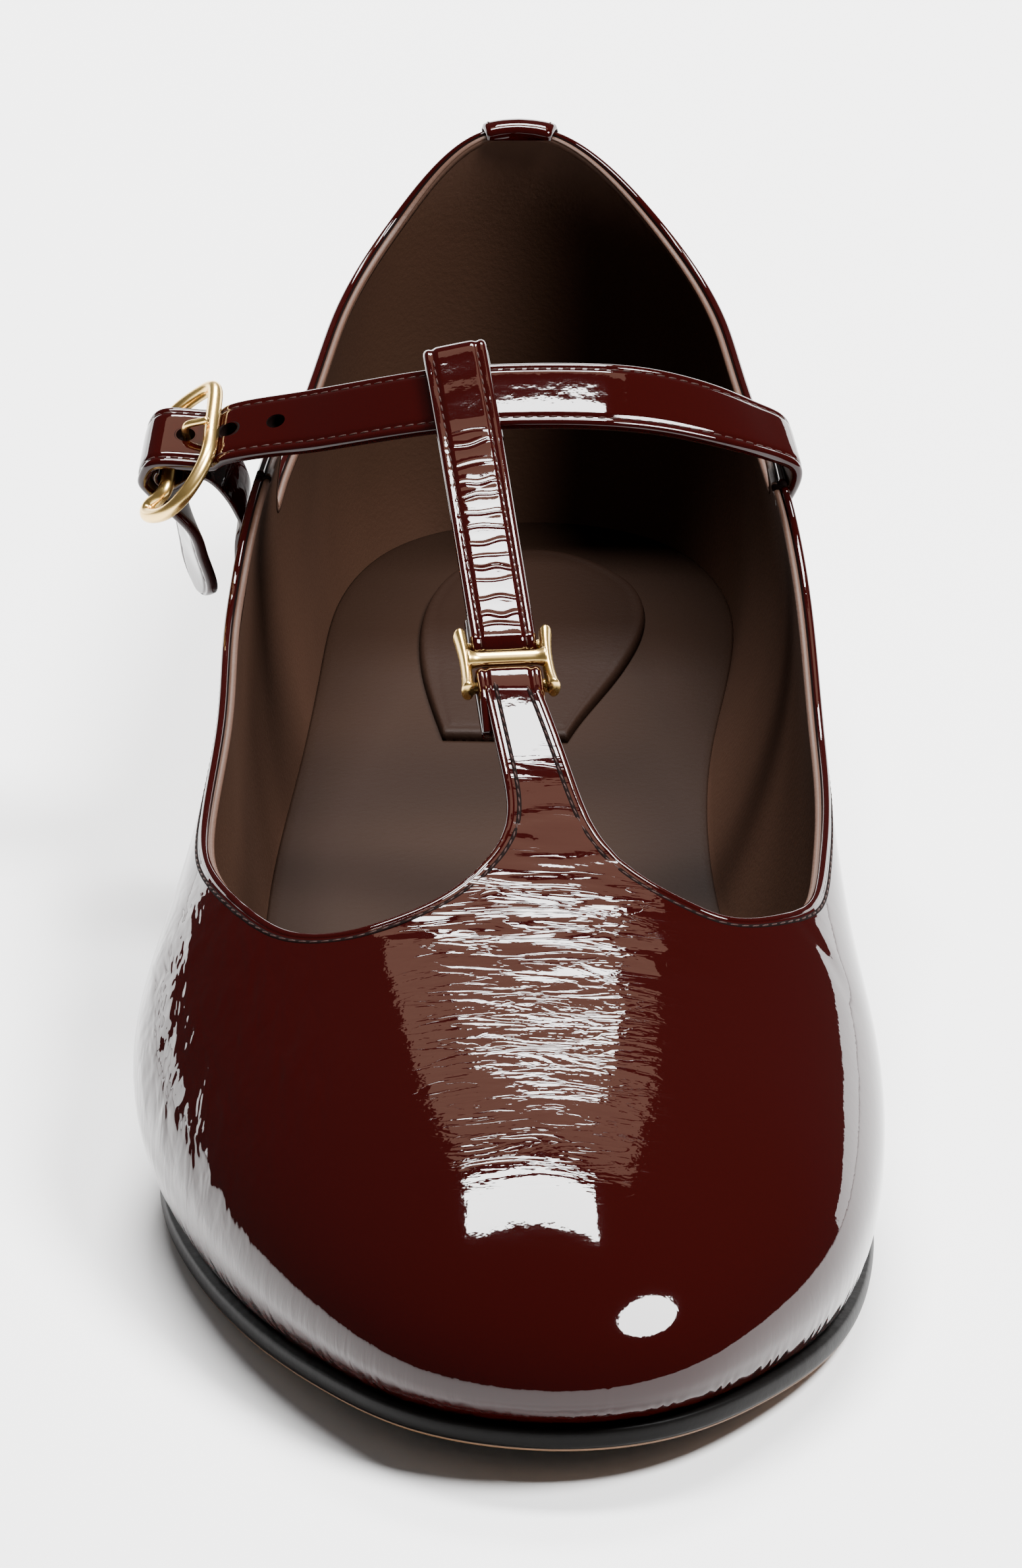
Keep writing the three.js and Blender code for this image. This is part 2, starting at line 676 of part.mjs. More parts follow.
// Middle line of the frame's wire, from the free limb round the front to the recessed bar,
// as shares of buckleHalfLength
const frameRows = [
  { along: -0.264, across: -0.577 }, { along: -0.288, across: -0.288 },
  { along: -0.308, across: 0.038 }, { along: -0.322, across: 0.365 },
  { along: -0.221, across: 0.673 }, { along: -0.019, across: 0.913 },
  { along: 0.25, across: 1 }, { along: 0.51, across: 0.894 },
  { along: 0.625, across: 0.76 }, { along: 0.567, across: 0.654 },
  { along: 0.423, across: 0.625 }, { along: 0.346, across: 0.481 },
  { along: 0.346, across: 0.24 }, { along: 0.346, across: 0 },
  { along: 0.346, across: -0.24 }, { along: 0.346, across: -0.471 },
  { along: 0.423, across: -0.587 }, { along: 0.5, across: -0.635 },
  { along: 0.471, across: -0.76 }, { along: 0.25, across: -0.827 },
  { along: 0, across: -0.827 }, { along: -0.192, across: -0.769 },
];
const freeLimb = frameRows[2].along * buckleHalfLength;
const prongThrough = [0.25, 0, 0.9];
const strapUnderLimb = buckleWireRadius + fitGap + strapThickness / 2;
const loopRadius = buckleWireRadius + fitGap + buckleStrapThickness / 2;
const strapOverLoop = loopRadius + (buckleStrapThickness + strapThickness) / 2 + fitGap;

// Place on a circle round one of the frame's limbs
function roundLine(middle, radius, degrees) {
  const angle = degrees * Math.PI / 180;
  return bucklePoint(middle + radius * Math.cos(angle), 0, radius * Math.sin(angle));
}

// Path of the ankle strap: from the medial ear over the instep, under the free limb, over
// the bar that carries the prong and down the lateral side
function anklePath() {
  const at = loopCount - medialEarMiddle;
  const earLevel = levelAt(at, earHeight - earOverlap, upperWall / 2);
  const start = wallPoint(at, earLevel, upperWall / 2);
  const round = (middle, radius, degrees) => [
    ...roundLine(middle, radius, degrees), ...buckleAcross,
  ];
  const rows = [
    [...start, 0.06, -1, -0.16],
    ...ankleRows.map((row) => [...placeOf(row), ...row.edge]),
    ...[-105, -60].map((degrees) => round(freeLimb, strapUnderLimb, degrees)),
    ...[115, 80, 48, 20].map((degrees) => round(buckleBarAlong, strapOverLoop, degrees)),
    ...tailRows.map((row) => [...placeOf(row), ...row.edge]),
  ];
  return strapStops(rows, 90);
}

const ankleStops = anklePath();
const distance = (a, b) => Math.hypot(...add(a, b, -1));
const ankleLengths = [0];
for (let i = 1; i < ankleStops.length; i++) {
  const piece = distance(ankleStops[i].middle, ankleStops[i - 1].middle);
  ankleLengths.push(ankleLengths[i - 1] + piece);
}
ankleStops.forEach((stop, i) => {
  const toTip = (ankleLengths[ankleLengths.length - 1] - ankleLengths[i]) / tailTipLength;
  if (toTip < 1) stop.narrow = Math.sqrt(Math.max(1 - (1 - toTip) ** 2, 0.09));
});

// Stop of the ankle strap nearest to a place
function nearestStop(place) {
  const gaps = ankleStops.map(({ middle }) => distance(middle, place));
  return gaps.indexOf(Math.min(...gaps));
}

// Stop at a length along the strap
function stopAt(length) {
  const i = ankleLengths.findIndex((value) => value > length) - 1;
  const share = (length - ankleLengths[i]) / (ankleLengths[i + 1] - ankleLengths[i]);
  const middle = add(
    ankleStops[i].middle,
    add(ankleStops[i + 1].middle, ankleStops[i].middle, -1),
    share,
  );
  return { ...ankleStops[i], middle };
}

// The prong stands in the first of three holes.
const prongCross = bucklePoint(...prongThrough);
const prongLength = steps(61, (i) => ankleLengths[nearestStop(prongCross)] + (i - 30) * 0.05)
  .reduce((best, length) => (
    distance(stopAt(length).middle, prongCross) < distance(stopAt(best).middle, prongCross)
      ? length : best
  ));
const strapHoles = steps(3, (i) => stopAt(prongLength - i * strapHolePitch));

// Line of the T-strap from the link up to the ankle strap. The end bar of the link lies
// under the end of the vamp's tab.
const loopStop = ankleStops[nearestStop(placeOf({ along: 0.39, across: -0.086, up: 0.964 }))];
const tabEndPlace = [0, alongY(tabEndAlong), crestAt(alongY(tabEndAlong)) - strapThickness / 2];
const teeAlong = unit(add(loopStop.middle, tabEndPlace, -1));
const linkPlace = add(tabEndPlace, teeAlong, linkFromTab);
const teeLength = distance(loopStop.middle, linkPlace);
const teeAcross = unit(cross(teeAlong, [0, 0, 1]));
const teeUp = unit(cross(teeAcross, teeAlong));
const dot = (a, b) => a.reduce((sum, value, c) => sum + value * b[c], 0);

// The strap is level at the link and rolls towards the slope of the ankle strap.
const loopRoll = Math.atan2(dot(loopStop.up, teeAcross), -dot(loopStop.up, teeUp));
const loopSlant = Math.atan2(-dot(loopStop.across, teeUp), -dot(loopStop.across, teeAlong));

function rolled(s) {
  const share = Math.min(Math.max(s / teeLength, 0), 1);
  const angle = loopRoll * share * share * (3 - 2 * share);
  return {
    across: add(teeAcross.map((value) => value * Math.cos(angle)), teeUp, Math.sin(angle)),
    up: add(teeUp.map((value) => value * Math.cos(angle)), teeAcross, -Math.sin(angle)),
  };
}

const teePoint = (s, h) => add(add(linkPlace, teeAlong, s), rolled(s).up, h);

const foldRadius = linkBarWidth / 2 + fitGap + strapThickness / 2;
const linkDepth = foldRadius;

// Arc of a fold in the plane along and up of the T-strap
function foldArc(centreS, centreH, radius, from, to, count) {
  return steps(count, (i) => {
    const angle = (from + (to - from) * i / (count - 1)) * Math.PI / 180;
    return [centreS + radius * Math.cos(angle), centreH + radius * Math.sin(angle)];
  });
}

function bandInTeePlane(path, width) {
  const stops = path.map(([s, h], i) => {
    const before = path[Math.max(i - 1, 0)];
    const after = path[Math.min(i + 1, path.length - 1)];
    const [ds, dh] = unit([after[0] - before[0], after[1] - before[1]]);
    const { across, up } = rolled(s);
    const facing = add(up.map((value) => value * ds), teeAlong, -dh);
    return { middle: teePoint(s, h), across, up: facing };
  });
  return band(stops, width, strapThickness);
}

// The loop lies in the ankle strap's own slant, which is steeper than the T-strap's.
const loopLift = strapThickness + 1.5 * seatGap;
const loopHalf = ankleStrapWidth / 2 + seatGap + strapThickness / 2 + 2 * looseGap;
const loopTuck = 1.5;
const loopEase = 4;

// Path of the T-strap: its tucked end under the ankle strap, the loop over it, and the run
// down to the fold round the link's upper bar
function teeStrap() {
  const slanted = ([s, h]) => [
    teeLength + s * Math.cos(loopSlant) - h * Math.sin(loopSlant),
    s * Math.sin(loopSlant) + h * Math.cos(loopSlant),
  ];
  const turn = loopHalf - loopLift;
  const loop = [
    [loopTuck - loopHalf, -loopLift],
    [turn, -loopLift],
    ...foldArc(turn, 0, loopLift, -60, 60, 5),
    [turn, loopLift],
    [looseGap - loopHalf, loopLift],
  ];
  const path = [
    ...loop.map(slanted),
    [teeLength - loopHalf - loopEase, loopLift * 0.3],
    [teeLength * 0.5, 0],
    [linkUpperBar + 2 * strapThickness, 0],
    ...foldArc(linkUpperBar, -linkDepth, foldRadius, 90, 270, 9),
    [linkUpperBar + foldReturn, -2 * linkDepth],
  ];
  return bandInTeePlane(path, teeStrapWidth);
}

// Beam across the link: a rounded section in the along and up plane, from one limb to the
// other
function linkBeam(centreS, centreH, halfS, halfH, from, to) {
  const round = linkRound * Math.min(halfS, halfH);
  const corner = [[1, 1, 1, 0], [1, 1, 0, 1], [-1, 1, 0, 1], [-1, 1, 1, 0],
    [-1, -1, 1, 0], [-1, -1, 0, 1], [1, -1, 0, 1], [1, -1, 1, 0]];
  const section = corner.map(([s, h, side, top]) => [
    centreS + s * (halfS - round * top), centreH + h * (halfH - round * side),
  ]);
  return solidOf(ringSolid([from, to].map((across) => (
    section.map(([s, h]) => add(teePoint(s, h), teeAcross, across))
  ))));
}

// Two side limbs, an end bar under each strap's fold and a raised bar between the folds
function teeLink() {
  const inside = teeStrapWidth / 2 + fitGap;
  const outside = inside + linkLimb;
  const halfBar = linkBarWidth / 2;
  const limbTop = strapThickness / 2;
  const limbBottom = -linkDepth - halfBar;
  const limbHalf = (limbTop - limbBottom) / 2;
  const limbMiddle = (limbTop + limbBottom) / 2;
  const overlap = 0.4;
  const limbs = [-1, 1].map((side) => (
    linkBeam(0, limbMiddle, linkHalfLength, limbHalf, side * inside, side * outside)
  ));
  const reach = inside + overlap;
  const bars = [
    linkBeam(-linkLowerBar, -linkDepth, halfBar, halfBar, -reach, reach),
    linkBeam(linkUpperBar, -linkDepth, halfBar, halfBar, -reach, reach),
    linkBeam(0, linkBarRaise, halfBar, halfBar, -reach, reach),
  ];
  return geometryOfSolid([...limbs, ...bars].reduce((whole, part) => whole.add(part)));
}

// Fold at the end of the vamp's tab, round the lower bar of the link. The rows give how far
// the tab lies behind the bar and under the T-strap's line, in mm.
const tabRows = [
  { behind: 5.4, down: 0.75 },
  { behind: 3.4, down: 0.3 },
  { behind: 1.5, down: 0.05 },
];

function tabFold() {
  const path = [
    ...tabRows.map(({ behind, down }) => [-linkLowerBar - behind, -down]),
    ...foldArc(-linkLowerBar, -linkDepth, foldRadius, 90, -90, 9),
    [-linkLowerBar - foldReturn, -2 * linkDepth],
  ];
  return bandInTeePlane(path, teeStrapWidth);
}

function upper() {
  const shell = solidOf(upperForm(0, 0)).subtract(solidOf(upperForm(upperWall, 8)));
  const open = shell.subtract(collarCutter())
    .subtract(throatCutter(lateralThroat, -1))
    .subtract(throatCutter(medialThroat, 1));
  return geometryOfSolid(open.add(solidOf(tabFold())));
}

// Small patch that folds over the topline at the back of the heel
function backTab() {
  const rowWidth = (sections[1].lateral + sections[1].medial) / 2 * soleWidth;
  const reach = backTabWidth / 2 / rowWidth;
  const columns = 5;
  const near = backTabGap;
  const far = near + backTabThickness;
  const inside = -upperWall - 2 * backTabGap;
  const rings = steps(columns, (i) => {
    const at = (loopCount - reach + 2 * reach * i / (columns - 1)) % loopCount;
    const top = collarTop(at);
    const leg = steps(5, (j) => {
      const level = levelAt(at, top - backTabLength * (1 - j / 4), 0);
      return { base: lastPoint(at, level), normal: lastNormal(at, level) };
    });
    const beside = (out) => leg.map(({ base, normal }) => add(base, normal, out));
    const over = (out, lift) => {
      const [x, y] = add(leg[4].base, leg[4].normal, out);
      return [x, y, top + lift];
    };
    return [
      beside((near + far) / 2)[0],
      ...beside(near),
      over(near, near),
      over(inside, near),
      over(inside, -backTabInside),
      over(inside - backTabThickness / 2, -backTabInside),
      over(inside - backTabThickness, -backTabInside),
      over(inside - backTabThickness, far),
      over(far, far),
      ...beside(far).reverse(),
    ];
  });
  return ringSolid(rings, { zipCaps: true });
}

// Frame of the buckle, a round wire bent into a closed loop
function buckleFrame() {
  const perRow = 3;
  const curve = closedSpline(frameRows.map((row) => (
    [row.along * buckleHalfLength, row.across * buckleHalfLength]
  )));
  const place = (at) => bucklePoint(...curve(at), 0);
  const rings = steps(frameRows.length * perRow, (i) => {
    const at = i / perRow;
    const heading = unit(add(place(at + 0.03), place(at - 0.03), -1));
    const out = unit(cross(heading, buckleUp));
    return steps(8, (j) => {
      const angle = j / 8 * Math.PI * 2;
      const side = add(place(at), out, buckleWireRadius * Math.cos(angle));
      return add(side, buckleUp, buckleWireRadius * Math.sin(angle));
    });
  });
  return ringSolid(rings, { loop: true });
}

// Round rod in the middle plane of the buckle, through places given along and up
function buckleRod(path, radius) {
  const curve = openSpline(path);
  const count = 15;
  return ringSolid(steps(count, (i) => {
    const share = i / (count - 1);
    const [a, h] = curve(share);
    const ahead = curve(Math.min(share + 0.01, 1));
    const behind = curve(Math.max(share - 0.01, 0));
    const [da, dh] = unit([ahead[0] - behind[0], ahead[1] - behind[1]]);
    return steps(8, (j) => {
      const angle = j / 8 * Math.PI * 2;
      const lift = radius * Math.sin(angle);
      return bucklePoint(a - dh * lift, radius * Math.cos(angle), h + da * lift);
    });
  }));
}

// Prong: an eye round the bar and a rod that rises through the strap's hole and rests on
// the free limb
function buckleProng() {
  const eyeRadius = buckleWireRadius + fitGap + prongRadius;
  const eye = ringSolid(steps(16, (i) => {
    const turn = i / 16 * Math.PI * 2;
    return steps(8, (j) => {
      const angle = j / 8 * Math.PI * 2;
      const reach = eyeRadius + prongRadius * Math.cos(angle);
      return bucklePoint(
        buckleBarAlong + reach * Math.cos(turn),
        prongRadius * Math.sin(angle),
        reach * Math.sin(turn),
      );
    });
  }), { loop: true });
  const rest = buckleWireRadius + fitGap + prongRadius;
  const path = [
    [buckleBarAlong - eyeRadius, 0], [1.2, -0.1], [0.25, 0.8], [-0.6, 1.9], [-1.4, 2.3],
    [-2.3, 2.05], [freeLimb, rest], [freeLimb - 0.9, rest - 0.3],
  ];
  return geometryOfSolid(solidOf(eye).add(solidOf(buckleRod(path, prongRadius))));
}

// Ankle strap with its rounded tail and three holes, cut level above the ear
function ankleStrap() {
  let strap = solidOf(band(ankleStops, ankleStrapWidth, strapThickness));
  const cutHeight = 2 * earOverlap;
  const block = new THREE.BoxGeometry(soleWidth / 2, soleWidth / 2, cutHeight);
  block.translate(soleWidth / 2, ankleStops[0].middle[1], earHeight + seatGap - cutHeight / 2);
  strap = strap.subtract(solidOf(block));
  for (const hole of strapHoles) {
    const { middle, across, up } = hole;
    const heading = unit(cross(up, across));
    const ring = (lift) => steps(10, (j) => {
      const angle = j / 10 * Math.PI * 2;
      const side = add(middle, across, strapHoleDiameter / 2 * Math.cos(angle));
      return add(add(side, heading, strapHoleDiameter / 2 * Math.sin(angle)), up, lift);
    });
    strap = strap.subtract(solidOf(ringSolid([ring(-strapThickness), ring(strapThickness)])));
  }
  return geometryOfSolid(strap);
}

// Short strap from the lateral quarter up and out to the buckle, folded round the limb
// under the ankle strap, with a slot for the prong's eye
function buckleStrap() {
  const outside = -(looseGap + buckleStrapThickness / 2);
  const onWall = buckleStrapRise.map((share) => {
    const level = levelAt(lateralEarMiddle, share * collarHeight, outside);
    return wallPoint(lateralEarMiddle, level, outside);
  });
  const away = bucklePoint(buckleBarAlong - 3.4, 0, -loopRadius - 1);
  const path = [
    ...onWall, away,
    ...[-90, -60, -30, 0, 30, 60, 85].map((degrees) => (
      roundLine(buckleBarAlong, loopRadius, degrees)
    )),
  ];
  const rows = path.map((place, i) => {
    const share = Math.min(i / onWall.length, 1);
    return [...place, ...add([0.02, -1, 0], add(buckleAcross, [0.02, -1, 0], -1), share)];
  });
  const solid = solidOf(band(strapStops(rows, 40), buckleStrapWidth, buckleStrapThickness));
  const slotWide = prongRadius + fitGap;
  const slotFar = buckleWireRadius + 2 * (fitGap + buckleStrapThickness);
  const corners = (b) => [[-slotFar, -slotFar], [slotFar, -slotFar], [slotFar, slotFar],
    [-slotFar, slotFar]].map(([a, h]) => bucklePoint(buckleBarAlong + a, b, h));
  const slot = ringSolid([corners(-slotWide), corners(slotWide)]);
  return geometryOfSolid(solid.subtract(solidOf(slot)));
}

// Named pieces with the colour, roughness and metalness of each
const root = new THREE.Group();

function piece(name, geometry, color, roughness, metalness = 0) {
  geometry.computeVertexNormals();
  const material = new THREE.MeshStandardMaterial({ color, roughness, metalness });
  const mesh = new THREE.Mesh(geometry, material);
  mesh.name = name;
  root.add(mesh);
}

const patent = 0x3a0709;
const liningBrown = 0x4a3024;
const soleBlack = 0x14130f;
const gold = 0xd8a63c;

piece('outsole', outsole(), soleBlack, 0.45);
piece('heel_lift', heelLift(), soleBlack, 0.6);
piece('insole', insole(), liningBrown, 0.6);
piece('heel_sock', heelSock(), liningBrown, 0.55);
piece('upper', upper(), patent, 0.12);
piece('back_tab', backTab(), patent, 0.12);
piece('ankle_strap', ankleStrap(), patent, 0.12);
piece('tee_strap', teeStrap(), patent, 0.12);
piece('tee_link', teeLink(), gold, 0.15, 1);
piece('buckle_frame', buckleFrame(), gold, 0.15, 1);
piece('buckle_prong', buckleProng(), gold, 0.15, 1);
piece('buckle_strap', buckleStrap(), patent, 0.12);

export default root;
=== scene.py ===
# %% [markdown]
# # Mary jane flat in patent leather
# The solids of the CAD model fix the sizes. This script dresses them: a thin outer skin with
# a rolled topline, a brown lining, stitched straps, gold hardware and a thin leather sole.
# Every surface is a function of two parameters that is evaluated on a grid, so that the
# skin, the lining, the topline and the stitches all follow one and the same last.

# %% Frame, units and the size before dressing
import math

import bpy
import numpy as np
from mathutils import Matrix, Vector


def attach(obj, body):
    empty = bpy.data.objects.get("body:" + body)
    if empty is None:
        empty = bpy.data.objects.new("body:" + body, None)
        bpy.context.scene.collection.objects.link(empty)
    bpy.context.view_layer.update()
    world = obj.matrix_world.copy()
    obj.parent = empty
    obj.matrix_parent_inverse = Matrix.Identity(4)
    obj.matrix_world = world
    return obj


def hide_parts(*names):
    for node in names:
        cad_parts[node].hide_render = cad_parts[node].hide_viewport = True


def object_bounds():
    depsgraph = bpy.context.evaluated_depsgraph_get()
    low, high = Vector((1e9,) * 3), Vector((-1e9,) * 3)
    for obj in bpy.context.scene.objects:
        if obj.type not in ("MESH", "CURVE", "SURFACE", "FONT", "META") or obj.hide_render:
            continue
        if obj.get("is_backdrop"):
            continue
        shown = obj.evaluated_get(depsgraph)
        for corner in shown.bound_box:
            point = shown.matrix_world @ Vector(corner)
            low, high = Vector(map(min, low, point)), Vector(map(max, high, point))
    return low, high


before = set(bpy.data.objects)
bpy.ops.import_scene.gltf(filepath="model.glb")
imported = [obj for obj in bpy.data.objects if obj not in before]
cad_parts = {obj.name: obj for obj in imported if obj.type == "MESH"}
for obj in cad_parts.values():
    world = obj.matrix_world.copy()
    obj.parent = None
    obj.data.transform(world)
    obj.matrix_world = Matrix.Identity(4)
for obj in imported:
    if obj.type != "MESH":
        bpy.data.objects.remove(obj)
for name in ("Cube", "Light", "Camera"):
    if name in bpy.data.objects:
        bpy.data.objects.remove(bpy.data.objects[name])
MM = 0.001


def as_lists(bounds):
    return [[float(value) for value in corner] for corner in bounds]


bpy.context.view_layer.update()
size = {"cad": as_lists(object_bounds())}
print("nodes", sorted(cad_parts))
print("box of the solids in metres", size["cad"])

# %% [markdown]
# ## Driving sizes
# They are those of the solids, in millimetres. The tables describe the last: each row is one
# section from the back of the heel to the toe. A table of stations could be replaced by
# splines drawn by eye, but rows of named shares are easier to check against the photo.

# %% Sizes and tables of the last
SOLE_LENGTH = 249.5
SOLE_WIDTH = 84.0
HEEL_BACK_Y = 28.0
INSTEP_HEIGHT = 68.0
HEEL_LIFT = 3.2
TOE_SPRING = 4.4
ARCH_RISE = 1.6
OUTSOLE_THICKNESS = 2.8
INSOLE_THICKNESS = 2.0
UPPER_WALL = 1.8
SOLE_MARGIN = 1.3
SEAT_GAP = 0.3
FIT_GAP = 0.28
LOOSE_GAP = 0.6
BACK_HEIGHT = 62.0
HEEL_LEAN = 2.6
COLLAR_HEIGHT = 46.0
EAR_HEIGHT = 54.5
STRAP_WIDTH = 10.0
TEE_WIDTH = 7.6
STRAP_THICKNESS = 1.4
LOW_SHARE = 0.22

# along, lateral, medial, spine along, spine across, lean, widest, out lateral, out medial, full
SECTIONS = np.array([
    [0.000, 0.007, -0.007, 0.088, -0.007, 1.00, 0.290, 0.018, 0.018, 2.40],
    [0.014, 0.165, 0.151, 0.096, -0.007, 0.97, 0.290, 0.018, 0.018, 2.20],
    [0.052, 0.271, 0.257, 0.112, -0.006, 0.90, 0.300, 0.018, 0.018, 1.85],
    [0.112, 0.327, 0.315, 0.144, -0.004, 0.75, 0.330, 0.018, 0.018, 1.70],
    [0.193, 0.345, 0.316, 0.208, 0.000, 0.50, 0.400, 0.020, 0.036, 1.85],
    [0.313, 0.360, 0.288, 0.313, 0.000, 0.20, 0.530, 0.038, 0.100, 2.20],
    [0.433, 0.386, 0.300, 0.433, 0.000, 0.00, 0.580, 0.045, 0.124, 2.40],
    [0.533, 0.398, 0.357, 0.533, 0.000, 0.00, 0.490, 0.038, 0.090, 2.30],
    [0.633, 0.443, 0.443, 0.633, 0.010, 0.00, 0.330, 0.043, 0.042, 2.20],
    [0.713, 0.473, 0.494, 0.705, 0.018, 0.00, 0.250, 0.050, 0.030, 2.15],
    [0.794, 0.427, 0.501, 0.765, 0.028, 0.00, 0.210, 0.048, 0.029, 2.10],
    [0.874, 0.333, 0.461, 0.809, 0.038, 0.00, 0.190, 0.043, 0.031, 2.10],
    [0.938, 0.219, 0.369, 0.837, 0.047, 0.00, 0.178, 0.038, 0.031, 2.10],
    [0.983, 0.087, 0.248, 0.853, 0.053, 0.00, 0.172, 0.036, 0.033, 2.10],
    [1.000, -0.088, 0.088, 0.861, 0.056, 0.00, 0.170, 0.034, 0.034, 2.10],
])
# along, crest as a share of the instep height
CREST = np.array([
    [0, 1.32], [0.1, 1.32], [0.2, 1.27], [0.313, 1.16], [0.433, 1.02], [0.533, 0.885],
    [0.633, 0.745], [0.705, 0.643], [0.775, 0.562], [0.84, 0.498], [0.9, 0.444],
    [0.95, 0.404], [1.02, 0.354],
])
# along, and the shares of heel lift, arch rise and toe spring under the outsole
SOLE = np.array([
    [0, 1, 0, 0], [0.1, 1, 0, 0], [0.2, 1, 0, 0], [0.28, 0.9, 0.6, 0], [0.37, 0.6, 1, 0],
    [0.46, 0.24, 0.6, 0], [0.54, 0, 0, 0], [0.63, 0, 0, 0], [0.73, 0, 0, 0],
    [0.8, 0, 0, 0.1], [0.87, 0, 0, 0.35], [0.94, 0, 0, 0.72], [1, 0, 0, 1],
])
FLAT_HEEL = 0.2
FLAT_BALL = (0.54, 0.73)
# section, lateral height, medial height, share of the back's extra height, of the ear's
COLLAR = np.array([
    [0, 1, 1, 1, 0], [0.35, 1, 1, 0.97, 0], [0.7, 1, 1, 0.85, 0], [1, 1, 1, 0.69, 0],
    [1.5, 1, 1, 0.42, 0], [2, 1, 1, 0.24, 0], [3, 1, 1, 0.07, 0], [4, 0.985, 1, 0, 0],
    [4.5, 0.955, 0.99, 0, 0], [4.85, 0.925, 0.985, 0, 0.02], [5, 0.93, 0.99, 0, 0.16],
    [5.1, 1, 1, 0, 0.62], [5.2, 1, 1, 0, 1],
])
# along, across, up of the front edge of the opening, from the ear round to the tab's end
TAB_END = 0.609
THROAT_LATERAL = np.array([
    [0.37, -0.36, 1.1], [0.377, -0.396, 0.82], [0.394, -0.407, 0.712],
    [0.418, -0.409, 0.641], [0.469, -0.407, 0.601], [0.529, -0.407, 0.572],
    [0.597, -0.418, 0.54], [0.64, -0.416, 0.528], [0.675, -0.397, 0.535],
    [0.716, -0.342, 0.541], [0.738, -0.279, 0.537], [0.746, -0.207, 0.544],
    [0.744, -0.143, 0.556], [0.734, -0.073, 0.579], [0.712, -0.017, 0.619],
    [0.686, 0.004, 0.662], [0.65, -0.014, 0.72], [TAB_END, -0.0452, 0.786],
])
THROAT_MEDIAL = np.array([
    [0.37, 0.36, 1.1], [0.381, 0.398, 0.82], [0.401, 0.407, 0.741],
    [0.433, 0.411, 0.671], [0.473, 0.417, 0.609], [0.529, 0.43, 0.552],
    [0.593, 0.44, 0.535], [0.633, 0.438, 0.527], [0.677, 0.425, 0.522],
    [0.705, 0.377, 0.528], [0.725, 0.299, 0.54], [0.725, 0.229, 0.55],
    [0.715, 0.156, 0.576], [0.695, 0.104, 0.618], [0.661, 0.074, 0.681],
    [TAB_END, 0.0452, 0.786],
])
print("sections", len(SECTIONS), "rows of the opening", len(THROAT_LATERAL), len(THROAT_MEDIAL))

# %% [markdown]
# ## Curves
# One natural cubic spline serves for everything. A closed one repeats its rows three times,
# so that its ends don't show. An open one takes its knots from the square roots of the
# chords, which keeps tight bends free of overshoot.

# %% Splines and vector helpers
def natural_spline(knots, rows):
    """Cubic pieces through the rows with equal slope and curvature where they meet and no
    curvature at both ends: a row mix plus second derivatives that solve one linear system."""
    knots, rows = np.asarray(knots, float), np.asarray(rows, float)
    gap, count = np.diff(knots), len(knots)
    system, inner = np.eye(count), np.arange(1, count - 1)
    system[inner, inner - 1] = gap[:-1]
    system[inner, inner] = 2 * (gap[:-1] + gap[1:])
    system[inner, inner + 1] = gap[1:]
    right = np.zeros_like(rows)
    right[1:-1] = 6 * np.diff(np.diff(rows, axis=0) / gap[:, None], axis=0)
    second = np.linalg.solve(system, right)

    def curve(at):
        at = np.asarray(at, float)
        k = np.clip(np.searchsorted(knots, at, side="right") - 1, 0, count - 2)
        b = ((at - knots[k]) / gap[k])[..., None]
        a = 1 - b
        bend = (a ** 3 - a) * second[k] + (b ** 3 - b) * second[k + 1]
        return a * rows[k] + b * rows[k + 1] + bend * (gap[k] ** 2)[..., None] / 6
    return curve


def closed_spline(rows):
    count = len(rows)
    curve = natural_spline(np.arange(-count, 2 * count), np.concatenate([rows] * 3))
    return lambda at: curve(np.mod(at, count))


def open_spline(rows):
    rows = np.asarray(rows, float)
    chords = np.sqrt(np.linalg.norm(np.diff(rows, axis=0), axis=1))
    knots = np.concatenate([[0], np.cumsum(chords)])
    curve = natural_spline(knots, rows)
    return lambda share: curve(np.asarray(share, float) * knots[-1])


def unit(a):
    return a / np.maximum(np.linalg.norm(a, axis=-1, keepdims=True), 1e-12)


def along_y(share):
    return HEEL_BACK_Y - share * SOLE_LENGTH


def place_of(rows):
    """Points from rows of along, across and up."""
    rows = np.atleast_2d(rows)
    across, up = rows[:, 1] * SOLE_WIDTH, rows[:, 2] * INSTEP_HEIGHT
    return np.stack([across, along_y(rows[:, 0]), up], -1)


def smooth(low, high, value):
    t = np.clip((value - low) / (high - low), 0, 1)
    return t * t * (3 - 2 * t)


# %% [markdown]
# ## The last
# `at` runs round the shoe, 14 sections along the lateral side and 14 back along the medial
# one, and `level` from the feather line (0) to the crest (1). Under the widest line the wall
# is a parabola, above it a superellipse. All pieces of the upper use this one surface.

# %% Surface of the last
TOE_ROW = len(SECTIONS) - 1
LOOP = 2 * TOE_ROW


def loop_rows():
    order = np.concatenate([np.arange(TOE_ROW + 1), np.arange(TOE_ROW - 1, 0, -1)])
    lateral = np.arange(LOOP) <= TOE_ROW
    row = SECTIONS[order]
    return np.stack([
        np.where(lateral, -row[:, 1], row[:, 2]) * SOLE_WIDTH, along_y(row[:, 0]),
        row[:, 4] * SOLE_WIDTH, along_y(row[:, 3]), row[:, 6] * INSTEP_HEIGHT,
        np.where(lateral, row[:, 7], row[:, 8]) * SOLE_WIDTH, row[:, 9], row[:, 5] * HEEL_LEAN,
    ], -1)


